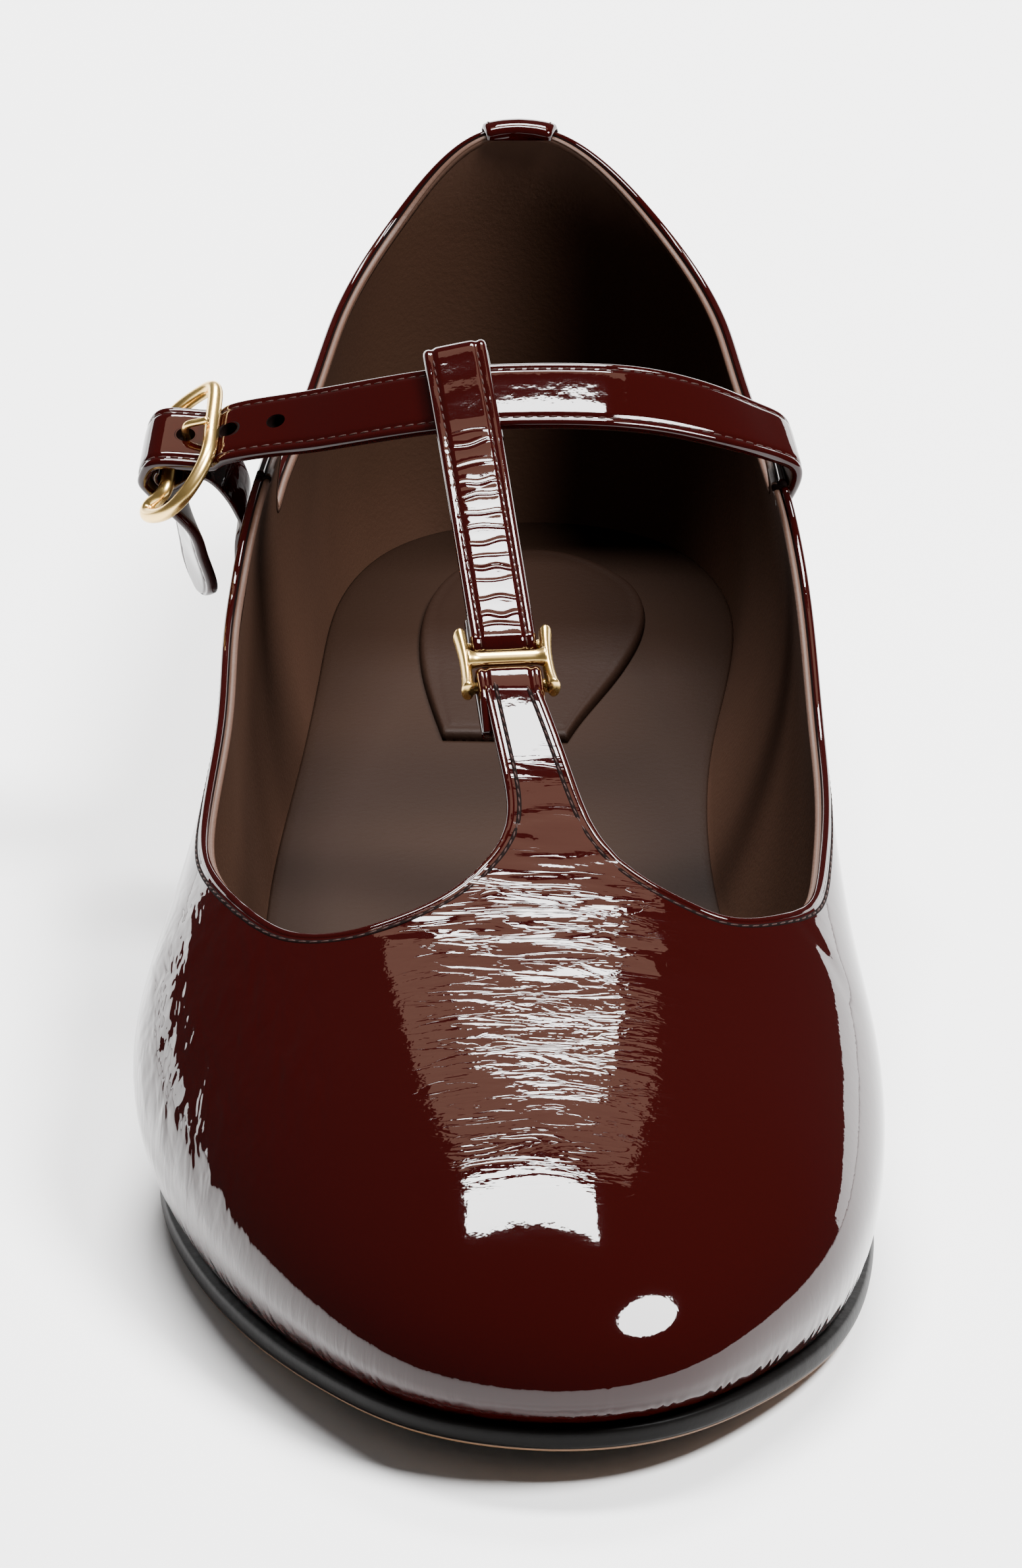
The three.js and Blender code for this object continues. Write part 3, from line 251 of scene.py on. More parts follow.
last_loop = closed_spline(loop_rows())
crest_curve = natural_spline(CREST[:, 0], CREST[:, 1:] * INSTEP_HEIGHT)
sole_lift = SOLE[:, 1] * HEEL_LIFT + SOLE[:, 2] * ARCH_RISE + SOLE[:, 3] * TOE_SPRING
sole_curve = natural_spline(SOLE[:, 0], sole_lift[:, None])
collar_rise = BACK_HEIGHT - COLLAR_HEIGHT
collar_curve = natural_spline(COLLAR[:, 0], np.stack([
    COLLAR[:, 1] * COLLAR_HEIGHT + COLLAR[:, 3] * collar_rise,
    COLLAR[:, 2] * COLLAR_HEIGHT + COLLAR[:, 3] * collar_rise, COLLAR[:, 4]], -1))


def crest_at(y):
    return crest_curve((HEEL_BACK_Y - y) / SOLE_LENGTH)[..., 0]


def sole_bottom(y):
    along = np.clip((HEEL_BACK_Y - y) / SOLE_LENGTH, 0, 1)
    height = np.maximum(sole_curve(along)[..., 0], 0)
    height = np.where(along <= FLAT_HEEL, HEEL_LIFT, height)
    return np.where((along >= FLAT_BALL[0]) & (along <= FLAT_BALL[1]), 0, height)


def sole_top(y):
    return sole_bottom(y) + OUTSOLE_THICKNESS


def last_point(at, level):
    """Point of the outer surface: from the spine outwards by a distance that shrinks with
    the level as a cosine power, and up to the crest by the same power of the sine."""
    at, level = np.broadcast_arrays(np.asarray(at, float), np.asarray(level, float))
    x, y, sx, sy, widest, out, full, lean = np.moveaxis(last_loop(at), -1, 0)
    reach = np.hypot(x - sx, y - sy)
    rx, ry = (x - sx) / reach, (y - sy) / reach
    radius = reach - SOLE_MARGIN + out
    foot = sole_top(y) + SEAT_GAP
    q = np.clip(level / LOW_SHARE, None, 1)
    low = radius - out * (1 - q) ** 2
    turn = np.clip((level - LOW_SHARE) / (1 - LOW_SHARE), 0, 1) * np.pi / 2
    high = radius * np.maximum(np.cos(turn), 0) ** (2 / full)
    upper = level >= LOW_SHARE
    distance = np.where(upper, high, low)
    place_y = sy + ry * distance
    rise = (crest_at(place_y) - widest) * np.sin(turn) ** (2 / full)
    shift = lean * 2 * (rise / BACK_HEIGHT) ** 2
    z = np.where(upper, widest + rise, foot + (widest - foot) * q)
    return np.stack([sx + rx * distance - np.where(upper, shift, 0), place_y, z], -1)


def last_normal(at, level):
    low = np.clip(level, 0.004, 0.985)
    around = last_point(at + 0.01, low) - last_point(at - 0.01, low)
    rising = last_point(at, low + 0.004) - last_point(at, low - 0.004)
    return unit(np.cross(around, rising))


def wall_point(at, level, depth):
    return last_point(at, level) - last_normal(at, level) * depth


def outline_point(at, inset):
    """Edge of the sole moved towards the spine by inset."""
    x, y, sx, sy = np.moveaxis(last_loop(at), -1, 0)[:4]
    ray = unit(np.stack([x - sx, y - sy], -1))
    return np.stack([x, y], -1) - ray * np.asarray(inset, float)[..., None]


def collar_top(at):
    at = np.mod(at, LOOP)
    folded = np.minimum(at, LOOP - at)
    lateral, medial, ear = np.moveaxis(collar_curve(np.minimum(folded, COLLAR[-1, 0])), -1, 0)
    side = np.where(at <= TOE_ROW, lateral, medial)
    return np.where(folded >= COLLAR[-1, 0], EAR_HEIGHT, side + ear * (EAR_HEIGHT - side))


def level_at(at, height, depth=0.0):
    """Level at which the wall, moved inwards by depth, reaches a height, by halving."""
    at, height = np.broadcast_arrays(np.asarray(at, float), np.asarray(height, float))
    low, high = np.zeros(at.shape), np.ones(at.shape)
    for _ in range(26):
        middle = (low + high) / 2
        under = wall_point(at, middle, depth)[..., 2] < height
        low, high = np.where(under, middle, low), np.where(under, high, middle)
    return low


print("toe of the last", last_point(TOE_ROW, LOW_SHARE).round(1))

# %% [markdown]
# ## The opening
# The skin is trimmed where the collar and the two throat curves say. Each throat curve is a
# polygon in a slanted view, and the signed distance to it tells leather (positive) from
# opening (negative). A boolean cut would do the same, but leaves ragged triangles.

# %% Trimming function and the mesh clip
THROAT_STEPS = 145
SLANT = math.sqrt(0.5)
FAR_UP = 90.0
SLAB_FROM = 16.0


def throat_outline(rows, side):
    path = open_spline(place_of(rows))(np.linspace(0, 1, THROAT_STEPS))
    return np.stack([path[:, 1], (path[:, 2] - side * path[:, 0]) * SLANT], -1)


OUTLINES = {-1: throat_outline(THROAT_LATERAL, -1), 1: throat_outline(THROAT_MEDIAL, 1)}


def polygon_distance(points, polygon):
    """Distance from points to a closed polygon, negative inside: the nearest place on every
    edge, and the parity of the edges that a ray crosses."""
    a, b = polygon, np.roll(polygon, -1, axis=0)
    edge = b - a
    best = np.full(len(points), np.inf)
    inside = np.zeros(len(points), bool)
    for start, step, end in zip(a, edge, b):
        relative = points - start
        share = np.clip(relative @ step / (step @ step), 0, 1)
        best = np.minimum(best, np.sum((relative - share[:, None] * step) ** 2, -1))
        crosses = (start[1] > points[:, 1]) != (end[1] > points[:, 1])
        height = np.where(step[1] == 0, 1, step[1])
        inside ^= crosses & (points[:, 0] < start[0] + relative[:, 1] * step[0] / height)
    return np.where(inside, -1, 1) * np.sqrt(best)


def leather_left(at, points):
    """How far a point of the surface lies from the edge of the opening, in millimetres."""
    left = collar_top(at) - points[:, 2]
    for side, outline in OUTLINES.items():
        closing = [[outline[-1, 0], FAR_UP], [outline[0, 0], FAR_UP]]
        polygon = np.concatenate([outline, closing])
        depth = (side * points[:, 0] + points[:, 2]) * SLANT
        y, q = points[:, 1], (points[:, 2] - side * points[:, 0]) * SLANT
        near = (depth > SLAB_FROM) & (y < outline[:, 0].max() + 4) & (y > outline[:, 0].min() - 4)
        value = np.full(len(points), 99.0)
        value[near] = polygon_distance(np.stack([y, q], -1)[near], polygon)
        left = np.minimum(left, value)
    return left


def clip_mesh(data, faces, value):
    """Keeps the part of a triangle mesh where value is positive. A triangle with one or two
    corners inside is cut where the value passes zero on its edges."""
    inside = value[faces] > 0
    count = inside.sum(1)
    one, two = faces[count == 1], faces[count == 2]
    turn_one = np.argmax(value[one] > 0, axis=1)
    turn_two = np.argmax(value[two] <= 0, axis=1)
    order = np.arange(3)
    one = np.take_along_axis(one, (order + turn_one[:, None]) % 3, 1)
    two = np.take_along_axis(two, (order + turn_two[:, None]) % 3, 1)
    edges = np.concatenate([one[:, [0, 1]], one[:, [0, 2]], two[:, [0, 1]], two[:, [0, 2]]])
    keys, back = np.unique(np.sort(edges, axis=1), axis=0, return_inverse=True)
    first, last = keys[:, 0], keys[:, 1]
    share = (value[first] / (value[first] - value[last]))[:, None]
    cut = data[first] * (1 - share) + data[last] * share
    new = back.reshape(-1) + len(data)
    n, m = len(one), len(two)
    a, b = new[:n], new[n:2 * n]
    c, d = new[2 * n:2 * n + m], new[2 * n + m:]
    kept = np.concatenate([
        faces[count == 3],
        np.stack([one[:, 0], a, b], -1),
        np.stack([c, two[:, 1], two[:, 2]], -1),
        np.stack([c, two[:, 2], d], -1),
    ])
    used, index = np.unique(kept, return_inverse=True)
    return np.concatenate([data, cut])[used], index.reshape(-1, 3)


# %% [markdown]
# ## Meshes
# All meshes come from whole arrays. A grid is a set of rings; a ring can close on itself, and
# the last ring can fold onto the spine, where opposite points share their vertices.

# %% Grids, tubes and mesh objects
def grid_faces(rows, columns, close_columns=True, close_rows=False):
    i = np.arange(rows if close_rows else rows - 1)[:, None]
    j = np.arange(columns if close_columns else columns - 1)[None, :]
    a = i * columns + j
    b = i * columns + (j + 1) % columns
    c = ((i + 1) % rows) * columns + (j + 1) % columns
    d = ((i + 1) % rows) * columns + j
    return np.stack([a, b, c, d], -1).reshape(-1, 4)


def triangles(quads):
    return np.concatenate([quads[:, [0, 1, 2]], quads[:, [0, 2, 3]]])


def fold_row(faces, columns, which):
    """Opposite points of a ring that lies on the spine become one vertex."""
    shift = which * columns
    on_ring = (faces >= shift) & (faces < shift + columns)
    j = faces - shift
    return np.where(on_ring, shift + np.minimum(j, (columns - j) % columns), faces)


def tidy(points, faces):
    """Drops doubled corners and unused vertices. Faces are triangles."""
    same = (faces[:, 0] == faces[:, 1]) | (faces[:, 1] == faces[:, 2])
    faces = faces[~(same | (faces[:, 0] == faces[:, 2]))]
    used, index = np.unique(faces, return_inverse=True)
    return points[used], index.reshape(-1, 3), used


def mesh_object(name, points, faces, materials, face_material=None, floats=None):
    """Mesh from arrays in millimetres, with optional float attributes per vertex."""
    mesh = bpy.data.meshes.new(name)
    mesh.from_pydata((points * MM).tolist(), [], faces.tolist())
    for material in materials:
        mesh.materials.append(material)
    if face_material is not None:
        mesh.polygons.foreach_set("material_index", np.asarray(face_material, np.int32))
    mesh.polygons.foreach_set("use_smooth", np.ones(len(faces), bool))
    for key, values in (floats or {}).items():
        layer = mesh.attributes.new(key, "FLOAT", "POINT")
        layer.data.foreach_set("value", np.asarray(values, np.float32))
    mesh.update()
    piece = bpy.data.objects.new(name, mesh)
    bpy.context.scene.collection.objects.link(piece)
    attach(piece, "root")
    return piece


def sweep(middles, sides, ups, profile):
    """Rings of a profile, given as offsets to the side and up, along a path."""
    profile = np.asarray(profile, float)
    if profile.ndim == 2:
        profile = np.broadcast_to(profile, (len(middles),) + profile.shape)
    return (middles[:, None] + sides[:, None] * profile[..., :1] + ups[:, None] * profile[..., 1:])


def cap_faces(rows, columns):
    """Two fans that close the ends of a swept band."""
    j = np.arange(1, columns - 1)
    start = np.stack([np.zeros_like(j), j + 1, j], -1)
    end = np.stack([np.zeros_like(j), j, j + 1], -1) + (rows - 1) * columns
    return np.concatenate([start, end])


def outward(points, faces):
    """Turns the faces so that the volume that they close is positive."""
    a, b, c = (points[faces[:, k]] for k in range(3))
    volume = np.sum(a * np.cross(b, c))
    return faces if volume > 0 else faces[:, ::-1]


def capped(rings):
    """Points and outward faces of a solid from its rings, with a fan on both ends."""
    rows, columns = rings.shape[:2]
    points = rings.reshape(-1, 3)
    faces = np.concatenate([triangles(grid_faces(rows, columns)), cap_faces(rows, columns)])
    return points, outward(points, faces)


def run_along(path):
    """Length along a path of points, from zero."""
    steps = np.linalg.norm(np.diff(path, axis=0), axis=1)
    return np.concatenate([[0], np.cumsum(steps)])


def resample(path, pitch):
    """Places at an even pitch along a path of points, as fractional indices."""
    length = run_along(path)
    count = max(int(length[-1] / pitch), 2)
    return np.interp(np.linspace(0, length[-1], count), length, np.arange(len(path)))


def pick(values, index):
    low = np.clip(np.floor(index).astype(int), 0, len(values) - 2)
    share = (index - low)[:, None]
    return values[low] * (1 - share) + values[low + 1] * share


# %% [markdown]
# ## Materials
# Patent leather is a dark red base under a clear coat. Fine wrinkles are bump that follows
# the piece's own attributes, so that they lie only where the leather bends. The lining is
# smooth brown leather, the hardware polished gold colour, the sole's edge black paint.

# %% Materials
def shader(name, color, roughness, metallic=0.0, coat=0.0, coat_roughness=0.03, specular=0.5):
    material = bpy.data.materials.new(name)
    material.use_nodes = True
    node = material.node_tree.nodes["Principled BSDF"]
    node.inputs["Base Color"].default_value = (*color, 1)
    node.inputs["Roughness"].default_value = roughness
    node.inputs["Metallic"].default_value = metallic
    node.inputs["Coat Weight"].default_value = coat
    node.inputs["Coat Roughness"].default_value = coat_roughness
    node.inputs["Specular IOR Level"].default_value = specular
    return material, node


class Graph:
    """Short way to add nodes to one material."""

    def __init__(self, material):
        self.tree = material.node_tree

    def node(self, kind, inputs=None, **settings):
        made = self.tree.nodes.new(kind)
        for key, value in settings.items():
            setattr(made, key, value)
        for key, value in (inputs or {}).items():
            if isinstance(value, bpy.types.NodeSocket):
                self.tree.links.new(value, made.inputs[key])
            else:
                made.inputs[key].default_value = value
        return made

    def object_place(self):
        return self.node("ShaderNodeTexCoord").outputs["Object"]

    def stretched(self, scale, turn=(0, 0, 0)):
        mapping = self.node("ShaderNodeMapping", {"Vector": self.object_place(),
                                                  "Scale": scale, "Rotation": turn})
        return mapping.outputs["Vector"]

    def noise(self, vector, scale, detail=3.0, roughness=0.5, distortion=0.0):
        made = self.node("ShaderNodeTexNoise", {"Vector": vector, "Scale": scale,
                         "Detail": detail, "Roughness": roughness, "Distortion": distortion})
        return made.outputs["Fac"]

    def attribute(self, name):
        return self.node("ShaderNodeAttribute", attribute_name=name).outputs["Fac"]

    def math(self, operation, a, b=0.0):
        return self.node("ShaderNodeMath", {0: a, 1: b}, operation=operation).outputs[0]

    def bump(self, height, distance, strength=1.0, normal=None):
        inputs = {"Height": height, "Distance": distance, "Strength": strength}
        if normal is not None:
            inputs["Normal"] = normal
        return self.node("ShaderNodeBump", inputs).outputs["Normal"]

    def link(self, a, b):
        self.tree.links.new(a, b)


def patent_leather(name, color, wrinkled):
    material, node = shader(name, color, 0.5, coat=1.0, coat_roughness=0.03, specular=0.0)
    node.inputs["Coat IOR"].default_value = 1.4
    g = Graph(material)
    skin = g.bump(g.noise(g.object_place(), 900.0, 2.0), 0.000008)
    peel = g.bump(g.noise(g.object_place(), 160.0, 2.0), 0.00003, normal=skin)
    if wrinkled:
        cross = g.noise(g.stretched((0.2, 1.0, 0.8), (0, 0, 0.12)), 430.0, 3.0, 0.5, 0.6)
        sharp = g.math("POWER", g.math("ABSOLUTE", g.math("SUBTRACT", cross, 0.5)), 0.7)
        folded = g.math("MULTIPLY", sharp, g.attribute("crossed"))
        pleat = g.math("SINE", g.attribute("pleat_phase"))
        pleats = g.math("MULTIPLY", pleat, g.attribute("pleated"))
        drag = g.noise(g.stretched((1.0, 0.3, 0.35), (0, 0.3, -0.35)), 520.0, 2.0, 0.5, 0.3)
        drags = g.math("MULTIPLY", drag, g.attribute("dragged"))
        height = g.math("ADD", g.math("MULTIPLY", folded, 0.34), g.math("MULTIPLY", pleats, 0.1))
        height = g.math("ADD", height, g.math("MULTIPLY", drags, 0.9))
        fine = g.noise(g.stretched((0.5, 1.0, 0.8)), 1150.0, 2.0, 0.5, 0.4)
        height = g.math("ADD", height, g.math("MULTIPLY", fine, g.attribute("fretted")))
        streak = g.noise(g.stretched((1.0, 1.0, 0.16)), 560.0, 3.0, 0.55, 0.4)
        height = g.math("ADD", height, g.math("MULTIPLY", streak, g.attribute("streaked")))
        peel = g.bump(height, 0.0004, normal=peel)
    g.link(peel, node.inputs["Coat Normal"])
    g.link(peel, node.inputs["Normal"])
    return material


def grained(name, color, roughness, grain_scale, grain_depth, specular=0.4, mottle=0.0):
    material, node = shader(name, color, roughness, specular=specular)
    g = Graph(material)
    bump = g.bump(g.noise(g.object_place(), grain_scale, 4.0, 0.6), grain_depth)
    g.link(bump, node.inputs["Normal"])
    if mottle:
        cloud = g.noise(g.object_place(), 45.0, 3.0)
        low = tuple(value * (1 - mottle) for value in color) + (1,)
        high = tuple(value * (1 + mottle) for value in color) + (1,)
        mix = g.node("ShaderNodeMix", {"Factor": cloud}, data_type="RGBA")
        mix.inputs["A"].default_value = low
        mix.inputs["B"].default_value = high
        g.link(mix.outputs["Result"], node.inputs["Base Color"])
    return material


BURGUNDY = (0.0125, 0.0006, 0.0005)
patent = patent_leather("patent_leather", BURGUNDY, False)
patent_creased = patent_leather("patent_leather_creased", BURGUNDY, True)
lining = grained("lining_leather", (0.045, 0.0215, 0.013), 0.5, 1500.0, 0.00006, specular=0.16,
                 mottle=0.18)
tan_edge = grained("lining_edge", (0.062, 0.03, 0.019), 0.55, 1800.0, 0.00006, specular=0.25)
footbed = grained("footbed_leather", (0.016, 0.0078, 0.0048), 0.6, 1400.0, 0.00006, specular=0.05,
                  mottle=0.1)
sock_leather = grained("heel_pad_leather", (0.0135, 0.0062, 0.0038), 0.55, 1300.0, 0.00007, specular=0.06)
# Painted shade: near-black leather that stands for the shade in the topline's recess, on the bands under
# the topline seams and inside the strap's holes
recess_shade = grained("painted_recess_shade", (0.0035, 0.0014, 0.0012), 0.7, 900.0, 0.00004, specular=0.03)
thread = grained("thread", (0.022, 0.0075, 0.0055), 0.6, 3000.0, 0.00005, specular=0.15)
sole_black = grained("sole_edge", (0.0025, 0.002, 0.0018), 0.42, 700.0, 0.00005, specular=0.09)
sole_tan = grained("sole_leather", (0.13, 0.065, 0.028), 0.55, 900.0, 0.00008, mottle=0.12)
heel_black = grained("heel_rubber", (0.005, 0.005, 0.005), 0.6, 800.0, 0.0001)
gold, gold_node = shader("gold_hardware", (1.0, 0.68, 0.24), 0.26, metallic=1.0)
print("materials", len(bpy.data.materials))

# %% [markdown]
# ## The upper's outer skin
# A fine grid over the last, trimmed by the opening. Main creases are soft troughs in the
# surface itself: cross folds under the tab, where the vamp bends, over one broad shallow
# trough, and a few drag lines from the corners of the throat. The finest ones are bump.

# %% Creases of the vamp
# x, y, length, half width, depth and turn in degrees of each soft trough, millimetres
CREASES = np.array([
    [4.0, -132.0, 4.0, 0.5, 0.04, 4], [1.0, -137.0, 4.5, 0.5, 0.04, -6],
    [3.0, -136.0, 60.0, 9.0, 0.5, 0], [4.0, -143.0, 12.0, 0.9, 0.1, 6],
    [-1.0, -146.5, 13.0, 0.8, 0.07, -4],
    [9.0, -149.0, 16.0, 0.9, 0.12, 6], [1.0, -152.5, 26.0, 1.1, 0.13, -6],
    [10.0, -156.0, 24.0, 1.4, 0.16, 3], [-3.0, -158.5, 26.0, 1.5, 0.17, 9],
    [6.0, -161.5, 28.0, 1.6, 0.15, -5], [12.0, -166.0, 22.0, 1.6, 0.12, 6],
    [-30.0, -146.0, 10.0, 1.0, 0.14, 38], [-33.0, -151.0, 13.0, 1.1, 0.14, 48],
    [-36.0, -158.0, 16.0, 1.3, 0.12, 58], [-27.0, -150.0, 12.0, 1.0, 0.1, 30],
    [31.0, -142.0, 10.0, 1.1, 0.1, -34], [35.0, -149.0, 13.0, 1.3, 0.1, -50],
])


def creases(points):
    """Depth of all troughs: a bell across each one, and a soft fade at its ends."""
    total = np.zeros(len(points))
    for x, y, length, width, depth, turn in CREASES:
        c, s = math.cos(math.radians(turn)), math.sin(math.radians(turn))
        dx, dy = points[:, 0] - x, points[:, 1] - y
        run, off = dx * c + dy * s, dy * c - dx * s
        wave = off + 0.5 * np.sin(run * 0.45 + x)
        fade = np.exp(-(run / (length / 2)) ** 4)
        total += depth * fade * (np.exp(-(wave / width) ** 2) - 0.45 * np.exp(-(wave / width / 2.2) ** 2))
    return total


# %% Outer skin, lining and their trim
SKIN_PER_SECTION = 26
SKIN_ROWS = 116
LINING_PER_SECTION = 14
LINING_ROWS = 70
# inset and drop of the two rings under the feather line
TUCK = np.array([[1.6, -0.42], [0.45, -0.26]])
LINING_DEPTH = 1.75
# how far skin and lining stop short of the edge, under the topline's strip
SKIN_TRIM = 0.5
LINING_TRIM = 0.35


def shell(per_section, rows, depth):
    """Grid of the last moved inwards by depth, with a tuck under the feather line."""
    columns = LOOP * per_section
    at = np.arange(columns) / per_section
    level = np.linspace(0, 1, rows)
    a, l = np.meshgrid(at, level)
    points = wall_point(a, l, depth)
    spine = last_point(a[-1], l[-1])
    points[-1] = spine - np.array([0, 0, depth])
    tucks = []
    for inset, drop in TUCK:
        ring = points[0].copy()
        ring[:, :2] -= unit(last_loop(at)[:, :2] - last_loop(at)[:, 2:4]) * inset
        ring[:, 2] += drop
        tucks.append(ring)
    points = np.concatenate([np.array(tucks), points])
    at_all = np.concatenate([a[:len(TUCK)], a])
    level_all = np.concatenate([l[:len(TUCK)] * 0, l])
    faces = triangles(grid_faces(len(points), columns))
    faces = fold_row(faces, columns, len(points) - 1)
    return points.reshape(-1, 3), at_all.ravel(), level_all.ravel(), faces


def skin_attributes(points, at, level):
    """Where the fine wrinkles lie: crossed under the tab, pleated along the toe's feather
    line, dragged along the lateral corner of the throat."""
    x, y, z = points.T
    middle = np.exp(-((x - 4) / 15.5) ** 6)
    depth = 0.5 * smooth(-206, -196, y) + 0.5 * smooth(-168, -160, y) - 0.85 * smooth(-158, -148, y)
    crossed = middle * depth * (1 - smooth(-136, -128, y)) * smooth(0.4, 0.55, level)
    fretted = 0.05 * middle * smooth(-206, -196, y) * (1 - smooth(-168, -160, y))
    folded = np.minimum(at, LOOP - at)
    pleated = smooth(9.6, 11.2, folded) * (1 - smooth(0.05, 0.2, level))
    streaked = smooth(8.6, 10.0, folded) * (1 - smooth(0.12, 0.36, level))
    streaked = streaked * (0.12 + 0.3 * (at < TOE_ROW + 0.4))
    dragged = smooth(8.0, 8.8, at) * (1 - smooth(10.4, 11.6, at)) * smooth(0.1, 0.35, level)
    dragged = dragged * (1 - smooth(0.62, 0.8, level))
    phase = at * 46.0 + 2.0 * np.sin(at * 11.0)
    return {"crossed": crossed, "pleated": pleated, "dragged": dragged, "pleat_phase": phase,
            "streaked": streaked, "fretted": fretted}


points, at, level, faces = shell(SKIN_PER_SECTION, SKIN_ROWS, 0.0)
left = leather_left(at, points)
normals = last_normal(at, level)
flat = points.copy()
points = points - normals * creases(flat)[:, None]
marks = skin_attributes(flat, at, level)
data = np.concatenate([points] + [value[:, None] for value in marks.values()], axis=1)
data, faces = clip_mesh(data, faces, left - SKIN_TRIM)
kept, faces, used = tidy(data[:, :3], faces)
floats = dict(zip(marks, data[used, 3:].T))
upper_skin = mesh_object("upper_skin", kept, faces, [patent_creased],
                         floats=floats)
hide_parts("upper")
print("skin triangles", len(faces))

points, at, level, faces = shell(LINING_PER_SECTION, LINING_ROWS, LINING_DEPTH)
left = leather_left(at, points + last_normal(at, level) * LINING_DEPTH * 0.2)
data, faces = clip_mesh(points, faces[:, ::-1], left - LINING_TRIM)
kept, faces, _ = tidy(data, faces)
mesh_object("upper_lining", kept, faces, [lining])
print("lining triangles", len(faces))

# %% [markdown]
# ## The topline
# Patent and lining are folded in and stitched together at the edge. The strip shows, from
# outside to inside, the rolled patent edge, a dark recess coloured near-black as painted
# shade, and the tan edge of the lining. It runs along the analytic edge of the opening, found
# on the surface by Newton's method.

# %% Edge of the opening on the surface
def on_surface(target, side, start):
    """at and level of the surface points with given y and slanted height q."""
    def view(at_level):
        p = last_point(at_level[:, 0], at_level[:, 1])
        return np.stack([p[:, 1], (p[:, 2] - side * p[:, 0]) * SLANT], -1)

    guess = start.copy()
    for _ in range(40):
        here = view(guess)
        jacobian = np.stack([
            (view(guess + [1e-4, 0]) - here) / 1e-4, (view(guess + [0, 1e-5]) - here) / 1e-5], -1)
        step = np.linalg.solve(jacobian + np.eye(2) * 1e-9, (target - here)[..., None])[..., 0]
        step = np.clip(step, [-0.15, -0.02], [0.15, 0.02])
        guess = guess + step
        guess[:, 1] = np.clip(guess[:, 1], 0.02, 0.9995)
    return guess


def nearest_start(target, side):
    a, l = np.meshgrid(np.linspace(4.5, 12.5, 161), np.linspace(0.2, 0.995, 160))
    a = a if side < 0 else LOOP - a
    p = last_point(a, l).reshape(-1, 3)
    seen = np.stack([p[:, 1], (p[:, 2] - side * p[:, 0]) * SLANT], -1)
    gaps = ((target[:, None] - seen[None]) ** 2).sum(-1)
    best = gaps.argmin(1)
    return np.stack([a.ravel()[best], l.ravel()[best]], -1)


def throat_path(side):
    outline = OUTLINES[side]
    found = on_surface(outline, side, nearest_start(outline, side))
    place = last_point(found[:, 0], found[:, 1])
    seen = np.stack([place[:, 1], (place[:, 2] - side * place[:, 0]) * SLANT], -1)
    good = (np.linalg.norm(seen - outline, axis=1) < 0.05) & (place[:, 2] < EAR_HEIGHT + 0.02)
    return found[good]


COLLAR_STEPS = 420
EDGE_PITCH = 0.7

throats = {side: throat_path(side) for side in (-1, 1)}
collar_from, collar_to = throats[-1][0, 0], throats[1][0, 0]
collar_at = np.mod(np.linspace(collar_from, collar_to - LOOP, COLLAR_STEPS), LOOP)
collar_path = np.stack([collar_at, level_at(collar_at, collar_top(collar_at))], -1)
paths = {"collar": collar_path, "throat_lateral": throats[-1], "throat_medial": throats[1]}
for key, path in paths.items():
    print(key, len(path), last_point(*path[0]).round(1), last_point(*path[-1]).round(1))


def edge_frame(path):
    """Places, directions along, outward normals and directions away from the leather."""
    place = last_point(path[:, 0], path[:, 1])
    index = resample(place, EDGE_PITCH)
    path, place = pick(unwrap(path), index), pick(place, index)
    normal = last_normal(np.mod(path[:, 0], LOOP), path[:, 1])
    tangent = unit(np.gradient(place, axis=0))
    away = unit(np.cross(tangent, normal))
    middle = len(place) // 2
    inner = leather_left(np.mod(path[[middle], 0], LOOP), place[[middle]] + away[[middle]] * 0.8)
    if inner[0] > 0:
        away = -away
    place = place - normal * creases(place)[:, None]
    return place, tangent, normal, away


def unwrap(path):
    path = path.copy()
    path[:, 0] = np.unwrap(path[:, 0], period=LOOP)
    return path


# offsets away from the leather and outwards, from the skin over the edge to the lining
EDGE_PROFILE = np.array([
    [-0.95, -0.12], [-0.85, 0.02], [-0.6, 0.09], [-0.3, 0.08], [-0.08, -0.04], [0.04, -0.28],
    [0.04, -0.55], [-0.06, -0.76], [-0.3, -0.88], [-0.34, -1.0],
    [-0.12, -1.06], [-0.02, -1.25], [-0.02, -1.5], [-0.14, -1.72], [-0.45, -1.82], [-0.9, -1.8],
    [-0.9, -1.3],
])
# material of each face: 0 patent, 1 near-black painted shade for the recess between patent and lining,
# the hidden back and the end caps, 2 the tan lining edge
EDGE_MATERIAL = np.array([0, 0, 0, 0, 0, 0, 0, 1, 1, 2, 2, 2, 2, 2, 2, 1, 1])

edge_frames = {}
for key, path in paths.items():
    place, tangent, normal, away = edge_frame(path)
    edge_frames[key] = (place, tangent, normal, away)
    rings = sweep(place, away, normal, EDGE_PROFILE)
    rows, columns = rings.shape[:2]
    quads = grid_faces(rows, columns)
    index = np.tile(EDGE_MATERIAL, rows - 1)
    faces = np.concatenate([triangles(quads), cap_faces(rows, columns)])
    index = np.concatenate([index, index, np.ones(2 * (columns - 2), int)])
    turned = outward(rings.reshape(-1, 3), faces)
    mesh_object("edge_" + key, rings.reshape(-1, 3), turned, [patent, recess_shade, tan_edge],
                face_material=index)

# %% [markdown]
# ## Stitches
# Each stitch is a small capsule that is sunk by half into the leather. All stitches of one
# seam are one mesh, made from one capsule that is turned into each place at once. The seams
# along the topline lie on a low dark band, whose near-black colour is painted shade for the
# channel that a real seam presses into the leather; it costs far fewer faces than a finer
# skin would.

# %% Stitch lines
STITCH_PITCH = 1.4
STITCH_LENGTH = 1.0
STITCH_RADIUS = 0.14
STITCH_SINK = 0.04
STITCH_TURN = math.radians(5.0)


